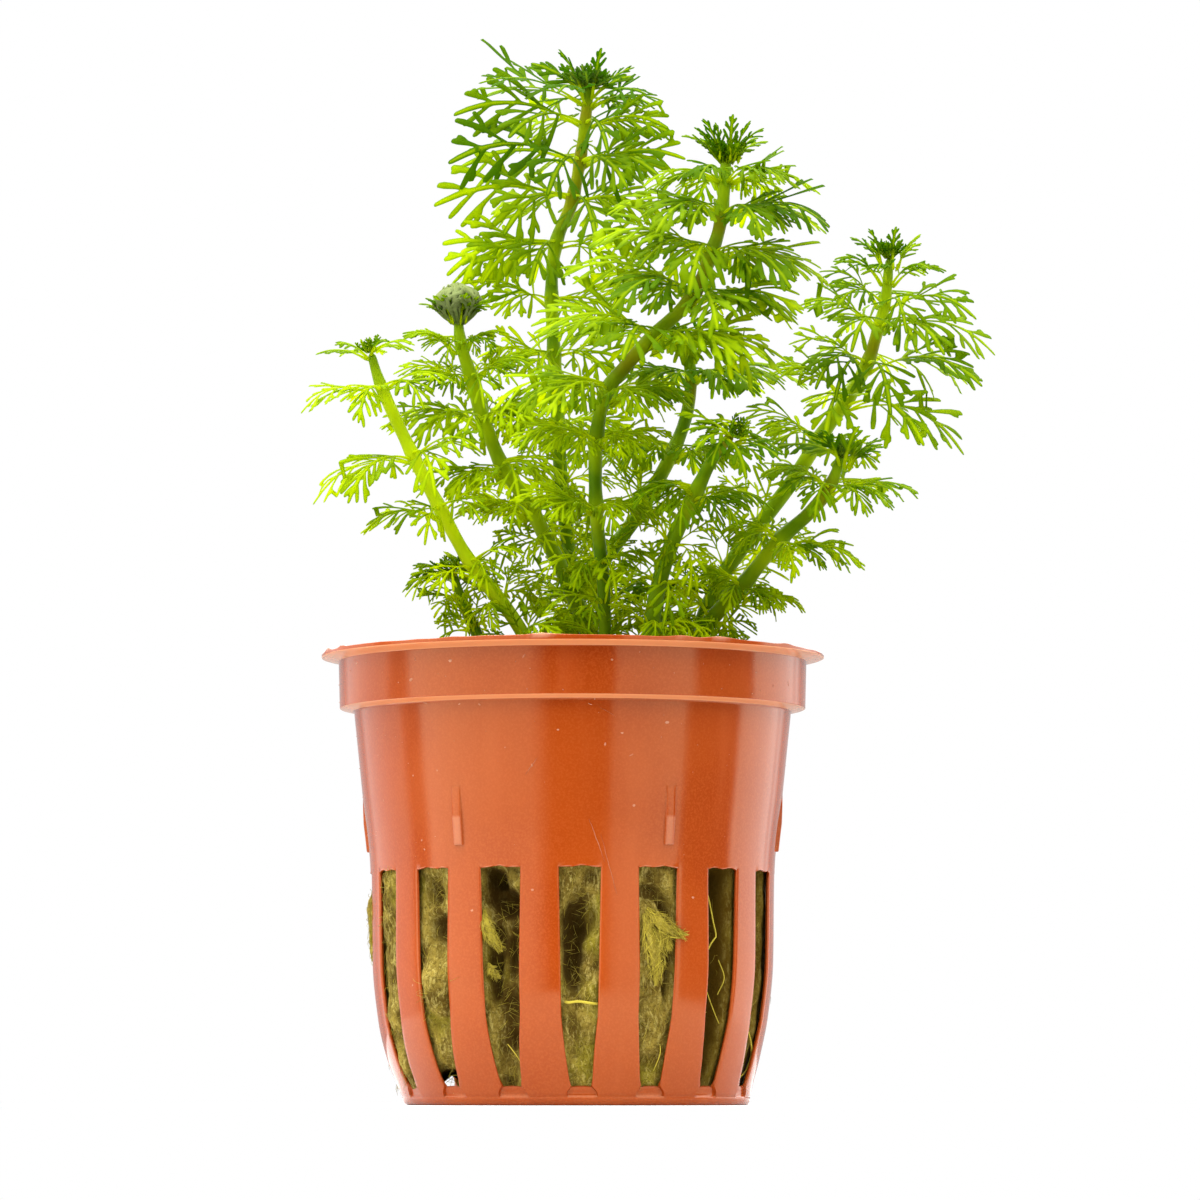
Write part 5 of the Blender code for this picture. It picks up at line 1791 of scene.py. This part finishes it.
# %% [markdown]
# ## Leaf green
#
# The blade is a thin skin that glows where light comes through it. Young leaves at
# the top are a deep green, old ones a bright yellow-green. Stalks and the rib down each
# leaf's middle are paler than the blade, and its rim is darker. Under a lens the skin shows
# small cells. Leaves folded together in a closed bud have a grey bloom. A leaf of
# this plant hardly shines, so most of the light it returns is its own colour.

# %% Leaf material
def leaf_material():
    material, tree, shader, place = new_material("leaf green")
    # The age also carries a painted backlight: leaves at the back are given more age, so they are painted brighter
    age = number_at_point(tree, "age")
    cells = texture(tree, place, 1600.0, Detail=4.0)
    blotches = texture(tree, place, 190.0, Detail=3.0)
    patchy = ramp(tree, blotches, 0.42, 0.68, 0.0, 0.6)
    stalk = ramp(tree, number_at_point(tree, "out"), 0.12, 0.36, 0.7, 0.0)
    rim = ramp(tree, number_at_point(tree, "middle"), 0.0, 0.8, 0.40, 0.0)
    rib = ramp(tree, number_at_point(tree, "rib"), 0.2, 1.0, 0.0, 0.45)
    bloom = number_at_point(tree, "bloom")

    def paint(young, old, dark, pale, grey):
        return coats(tree, young, (age, old), (patchy, dark), (rim, dark), (rib, pale), (stalk, pale),
                     (bloom, grey))

    skin = paint((0.066, 0.148, 0.0005), (0.40, 0.55, 0.0006), (0.056, 0.146, 0.0005), (0.47, 0.59, 0.001),
                 (0.36, 0.42, 0.17))
    tree.links.new(skin, shader.inputs["Base Color"])
    shader.inputs["Roughness"].default_value = 0.50
    shader.inputs["Specular IOR Level"].default_value = 0.04
    shader.inputs["Specular Tint"].default_value = (0.9, 1.0, 0.15, 1.0)
    add_bump(tree, shader, cells, 0.25, 0.03)
    through = tree.nodes.new("ShaderNodeBsdfTranslucent")
    glow = paint((0.19, 0.37, 0.0005), (0.95, 1.0, 0.001), (0.17, 0.37, 0.0005), (0.90, 0.96, 0.002),
                 (0.30, 0.36, 0.12))
    tree.links.new(glow, through.inputs["Color"])
    both = tree.nodes.new("ShaderNodeMixShader")
    both.inputs["Fac"].default_value = 0.55
    tree.links.new(shader.outputs["BSDF"], both.inputs[1])
    tree.links.new(through.outputs["BSDF"], both.inputs[2])
    tree.links.new(both.outputs["Shader"], tree.nodes["Material Output"].inputs["Surface"])
    return material


leaf_green = leaf_material()
print("leaf material nodes:", len(leaf_green.node_tree.nodes))

# %% [markdown]
# ## The whorls
#
# At each joint of a stem the leaves stand round it in a ring. The solid has seven of
# them, the real ring has up to a dozen: shorter leaves fill the gaps, halfway
# between their neighbours. Leaves keep most of their solid's arch, and their blades
# turn a little to the front, where the light comes from.

# %% Place the leaves of a whorl
# How often a shorter leaf grows between two of the solid's leaves, and how often a
# leaf has the broad pattern
FILLER_CHANCE = {"a": 0.35, "b": 1.0, "c": 0.1, "d": 0.9, "e": 0.0, "f": 0.8, "g": 1.0, "h": 1.0, "j": 0.8, "m": 0.8}
BROAD_CHANCE = {"a": 0.9, "b": 0.1, "c": 0.85, "d": 0.5, "e": 0.9, "f": 0.3, "g": 0.2, "h": 0.2, "j": 0.4, "m": 0.4}
# How far a stalk goes on into the stem, in mm
SUNK = 0.35
# How far the blades of a shoot turn to face the front, in degrees
TURN_TO_FRONT = {"a": 30.0, "b": 14.0, "c": 14.0, "d": 16.0, "e": 16.0, "f": 10.0, "g": 8.0, "h": 8.0,
                 "j": 10.0, "m": 10.0}
# The same for a shoot's crown and its first whorl, as a share of that
CROWN_TURN = 0.3
# How much higher a leaf arches than its solid, as a share of its length
LIFT = 0.07
# How far leaves that point at the eye or away from it are swept round to the side, in
# degrees, those that follow a solid leaf and those that fill a gap
SWEEP = 4.0
SWEEP_FILLER = 14.0
# How far the tips of leaves that point at the eye sink, as a share of their length
HANG = 0.10
# How much of its solid's arch a leaf keeps, on these shoots and on all others
ARCH_KEPT = {"a": 0.5, "b": 0.75}
ARCH_OF_OTHERS = 0.85
# The blades of a first whorl lie flatter: what is left of how far they stand up
FIRST_FLAT = (1.0, 1.0, 0.4)


def sweep_aside(curve, across, middle, degrees, dice):
    """The leaf turned round its joint towards the side, and tipped a little by itself."""
    reach = curve[2] - middle
    ahead = abs(reach[1]) / math.hypot(reach[0], reach[1])
    angle = -math.copysign(math.radians(degrees), reach[0] * reach[1]) * ahead ** 2
    turn = np.array(((math.cos(angle), -math.sin(angle), 0.0), (math.sin(angle), math.cos(angle), 0.0),
                     (0.0, 0.0, 1.0)))
    root, bend, tip = [middle + turn @ (point - middle) for point in curve]
    sink = HANG * ahead ** 2 if reach[1] < 0.0 else 0.0
    tip = tip + np.array((0.0, 0.0, np.linalg.norm(tip - root) * (dice.uniform(-0.04, 0.005 * degrees) - sink)))
    return (root, bend, tip), turn @ across


def turn_blade(curve, across, degrees):
    """The direction across a blade, turned so that the blade faces the front more."""
    chord = unit(curve[2] - curve[0])
    above = np.cross(chord, across)
    angle = math.radians(degrees)
    turned = [across * math.cos(angle) + above * math.sin(angle) * way for way in (1.0, -1.0)]
    return max(turned, key=lambda side: abs(np.cross(chord, side)[1]))


def grow_leaf(curve, across, axis_point, stem_radius, patterns, dice, face=0.0, **ways):
    """One leaf whose stalk goes on until it is just inside the stem."""
    root, bend, tip = curve
    across = turn_blade(curve, across, face + dice.uniform(-8.0, 8.0))
    bend = bend + np.array((0.0, 0.0, LIFT)) * np.linalg.norm(tip - root)
    curve = (root, bend, tip)
    gap = np.linalg.norm(root - axis_point) - stem_radius + SUNK
    inward = gap / (2.0 * np.linalg.norm(bend - root))
    return bend_leaf(dice.choice(patterns), curve, across, dice, inward, dice.choice((1, -1)), **ways)


def fill_gap(first, second, middle, dice):
    """A shorter leaf halfway between two neighbours."""
    shrink = dice.uniform(0.72, 0.95)
    points = []
    for a, b, part in zip(first[:3], second[:3], (1.0, shrink, shrink)):
        half_way = (a + b) / 2.0 - middle
        reach = (np.linalg.norm(a - middle) + np.linalg.norm(b - middle)) / 2.0
        points.append(middle + unit(half_way) * reach * part)
    return tuple(points), unit(first[3] + second[3])


print("most and least turn of a blade to the front:", max(TURN_TO_FRONT.values()), min(TURN_TO_FRONT.values()))

# %% [markdown]
# ## The buds
#
# At the end of a stem the youngest leaves still stand close together. They are set
# round it like seeds in a sunflower, each a fixed turn on from the last, and the outer
# ones lean out more. Where they hook back in to the middle the bud looks closed.

# %% Buds
# Each crown's bud: how many leaves, their length in mm, how far the outermost lean out in
# degrees, how far the tips hook back in (1 closes the bud), and the bloom on them
BUDS = {"a": (34, 3.7, 74.0, 0.10, 0.16), "b": (26, 3.6, 58.0, 0.15, 0.0), "c": (16, 2.6, 55.0, 0.0, 0.0),
        "d": (36, 4.8, 72.0, 1.00, 0.85), "e": (12, 2.2, 60.0, 0.3, 0.0), "f": (14, 2.8, 62.0, 0.45, 0.1),
        "g": (12, 2.4, 60.0, 0.25, 0.0), "h": (12, 2.4, 60.0, 0.2, 0.0), "j": (10, 2.4, 62.0, 0.3, 0.0),
        "m": (9, 2.2, 60.0, 0.3, 0.0)}
# How far below the end of its solid a bud starts, in mm
BUD_DROP = {"b": 1.5, "d": 1.3}
GOLDEN_TURN = 2.39996


def across_axis(axis):
    """Two directions square to an axis and to each other."""
    first = unit(np.cross(axis, SIDEWAYS))
    return first, np.cross(axis, first)


def grow_bud(shoot, middle, axis, dice):
    """A tuft of young leaves round the end of the stem. The inner ones stand up."""
    count, length, lean, hook, bloom = BUDS[shoot]
    first, second = across_axis(axis)
    middle = middle - axis * BUD_DROP.get(shoot, 0.0)
    parts = []
    for index in range(count):
        share = (index + 0.5) / count
        turn = index * GOLDEN_TURN + dice.uniform(-0.2, 0.2)
        out = first * math.cos(turn) + second * math.sin(turn)
        angle = math.radians(lean * (0.15 + 0.85 * share) * dice.uniform(0.9, 1.1))
        size = length * (0.62 + 0.38 * share) * dice.uniform(0.9, 1.08)
        rise = axis * math.cos(angle) + out * math.sin(angle)
        root = middle + out * 0.30 - axis * 0.2
        bend = root + unit(rise + hook * out) * size * 0.55
        tip = root + unit(rise - hook * 0.7 * out) * size
        if hook == 1.0:
            bend = root + (axis * 0.58 + out * 1.02 * math.sqrt(share)) * length
            tip = root + (axis * (1.0 - 0.10 * share) + out * 0.10 * share) * length
        across = np.cross(axis, out)
        points, faces, shade, along, rib = bend_leaf(
            dice.choice(bud_patterns), (root, bend, tip), across, dice, 0.0, dice.choice((1, -1)),
            tilt=0.10, droop=-0.35)
        parts.append((points, faces, shade, np.maximum(along, 0.30), rib))
    return parts, bloom


print("leaves in all buds:", sum(bud[0] for bud in BUDS.values()))

# %% [markdown]
# ## Whorl by whorl
#
# A whorl's leaves are one mesh, since they grow from one collar. Age goes down the
# stem, and the leaf material turns it into colour. A crown's ring is of young leaves,
# and holds the bud.

# %% Grow the whorls
# How much leaves of one whorl differ in age, and how much brighter those at the back are painted: a painted backlight
AGE_SPREAD = 0.15
PAINTED_BACK_LIGHT = 0.28
# How old the leaves of a crown and of a bud are, as shares of the age of the first whorl
CROWN_AGE = 0.5
BUD_AGE = 0.4
# How old the leaves of a shoot's first whorl are, from 0 to 1, and what each lower one adds
AGES = {"a": (0.14, 0.13), "b": (0.44, 0.07), "c": (0.32, 0.08), "d": (0.64, 0.12), "e": (0.80, 0.08),
        "f": (0.55, 0.15), "g": (0.40, 0.10), "h": (0.46, 0.10), "j": (0.40, 0.10), "m": (0.25, 0.10)}


def age_of(leaf, age, dice):
    """The age of each point of a leaf, with a painted backlight: leaves at the back are
    made brighter than those in front, as if lit through from behind."""
    points, out = leaf[0], leaf[3]
    back = (points[out.argmax()] - points[out.argmin()])[1] / (1.0 + np.ptp(points, axis=0).max())
    own = age + PAINTED_BACK_LIGHT * back + dice.gauss(0.0, AGE_SPREAD)
    return np.clip(np.full(len(points), own) + 0.12 * (out - 0.5), 0.0, 1.0)


def leaf_numbers(parts, age, dice, bloom=0.0):
    """One mesh from several leaves, with what the leaf material reads at each point."""
    points, faces, (shade, out, rib) = bush(parts)
    ages_with_backlight = np.concatenate([age_of(leaf, age, dice) for leaf in parts])
    return points, faces, {"middle": shade, "out": out, "rib": rib, "age": ages_with_backlight,
                           "bloom": np.full(len(points), bloom)}


def join_leaves(first, second):
    """Two such meshes as one."""
    numbers = {title: np.concatenate([first[2][title], second[2][title]]) for title in first[2]}
    return np.vstack([first[0], second[0]]), np.vstack([first[1], second[1] + len(first[0])]), numbers


def grow_whorl(node, dice):
    middle, axis, leaves = whorls[node]
    kind, shoot = node.rsplit("_", 1)
    order = 0 if kind == "crown" else int(kind.split("_")[1])
    radius = stem_radius_at(shoot, middle[2])
    parts = []

    def add_leaf(curve, across, sweep):
        curve, across = sweep_aside(curve, across, middle, sweep, dice)
        straight = (curve[0] + curve[2]) / 2.0
        curve = (curve[0], straight + (curve[1] - straight) * ARCH_KEPT.get(shoot, ARCH_OF_OTHERS), curve[2])
        if order == 1:
            across = unit(across * FIRST_FLAT)
        patterns = broad_patterns if dice.random() < BROAD_CHANCE[shoot] else fine_patterns
        parts.append(grow_leaf(curve, across, middle, radius, patterns if order else young_patterns, dice,
                               TURN_TO_FRONT[shoot] if order > 1 else CROWN_TURN * TURN_TO_FRONT[shoot]))

    for index, leaf in enumerate(leaves):
        add_leaf(leaf[:3], leaf[3], SWEEP)
        if dice.random() < FILLER_CHANCE[shoot]:
            add_leaf(*fill_gap(leaf, leaves[(index + 1) % len(leaves)], middle, dice), SWEEP_FILLER)
    start, step = AGES[shoot]
    ring = leaf_numbers(parts, start + step * (order - 1) if order else CROWN_AGE * start, dice)
    if not order:
        bud, bloom = grow_bud(shoot, middle, axis, dice)
        ring = join_leaves(ring, leaf_numbers(bud, BUD_AGE * start, dice, bloom))
    points, faces, numbers = ring
    return make_piece("leaves_" + node, points, faces, leaf_green, "leaf", (node,), **numbers)


dice = random.Random(23)
leaf_pieces = [grow_whorl(node, dice) for node in whorl_nodes]
print("leaf pieces:", len(leaf_pieces), "triangles:", sum(len(item.data.polygons) for item in leaf_pieces))

# %% [markdown]
# ## The low leaves
#
# Just above the wool the stems carry more whorls, of small crowded leaves that have
# had little light. They hide the feet of the stems. A stem's own line says where
# each ring stands and which way it faces, and its leaves arch up and over.

# %% Low leaves
# For each shoot, the heights of its low whorls and how far their leaves reach, in mm
LOW_WHORLS = {
    "a": ((68.8, 8.0), (62.0, 7.5), (55.5, 7.0), (50.5, 6.0)),
    "b": ((58.5, 8.0), (54.2, 7.5), (50.0, 6.5)),
    "c": ((64.0, 7.5), (59.0, 7.5), (54.5, 7.0), (50.0, 6.0)),
    "d": ((61.7, 7.0), (57.6, 7.5), (53.5, 7.0), (49.5, 6.0)),
    "e": ((54.6, 6.5), (50.5, 6.5)),
    "f": ((52.6, 6.5), (49.6, 5.5)),
    "g": ((60.3, 7.0), (56.0, 7.0), (51.5, 6.5)),
    "h": ((66.2, 8.0), (59.0, 7.5), (54.0, 7.0), (49.5, 6.0)),
    "j": ((55.2, 5.5), (51.8, 6.0)),
    "m": ((53.5, 5.5), (50.0, 6.0)),
}
LOW_LEAVES = 8
LOW_AGE = 0.86


def grow_low_leaves(shoot, dice):
    middles = stems[shoot][0]
    parts = []
    for height, reach in LOW_WHORLS[shoot]:
        middle, above = [np.array([np.interp(at, middles[:, 2], middles[:, side]) for side in (0, 1, 2)])
                         for at in (height, height + 1.0)]
        axis = unit(above - middle)
        first, second = across_axis(axis)
        radius = stem_radius_at(shoot, height)
        for index in range(LOW_LEAVES):
            turn = 2.0 * math.pi * (index + dice.uniform(-0.3, 0.3)) / LOW_LEAVES + height
            out = first * math.cos(turn) + second * math.sin(turn)
            size = reach * dice.uniform(0.70, 1.05)
            # Those that point at the eye or away from it hang or stand, and show their faces
            steep = 0.25 + 0.75 * abs(out[1])
            rise = steep * dice.choice((-0.55, 0.75)) + dice.uniform(-0.1, 0.15)
            root = middle + out * radius * 0.8
            bend = root + out * size * 0.5 + axis * size * (0.30 + 0.35 * max(rise, 0.0))
            tip = root + out * size * 0.85 + axis * size * rise
            across = turn_blade((root, bend, tip), np.cross(axis, out), dice.uniform(0.0, 30.0))
            parts.append(bend_leaf(dice.choice(low_patterns), (root, bend, tip), across, dice, 0.0,
                                   dice.choice((1, -1)), tilt=0.22))
    points, faces, numbers = leaf_numbers(parts, LOW_AGE, dice)
    return make_piece("low_leaves_" + shoot, points, faces, leaf_green, "leaf", **numbers)


low_pieces = [grow_low_leaves(shoot, dice) for shoot in shoots]
print("low leaves:", len(low_pieces), "triangles:", sum(len(item.data.polygons) for item in low_pieces))
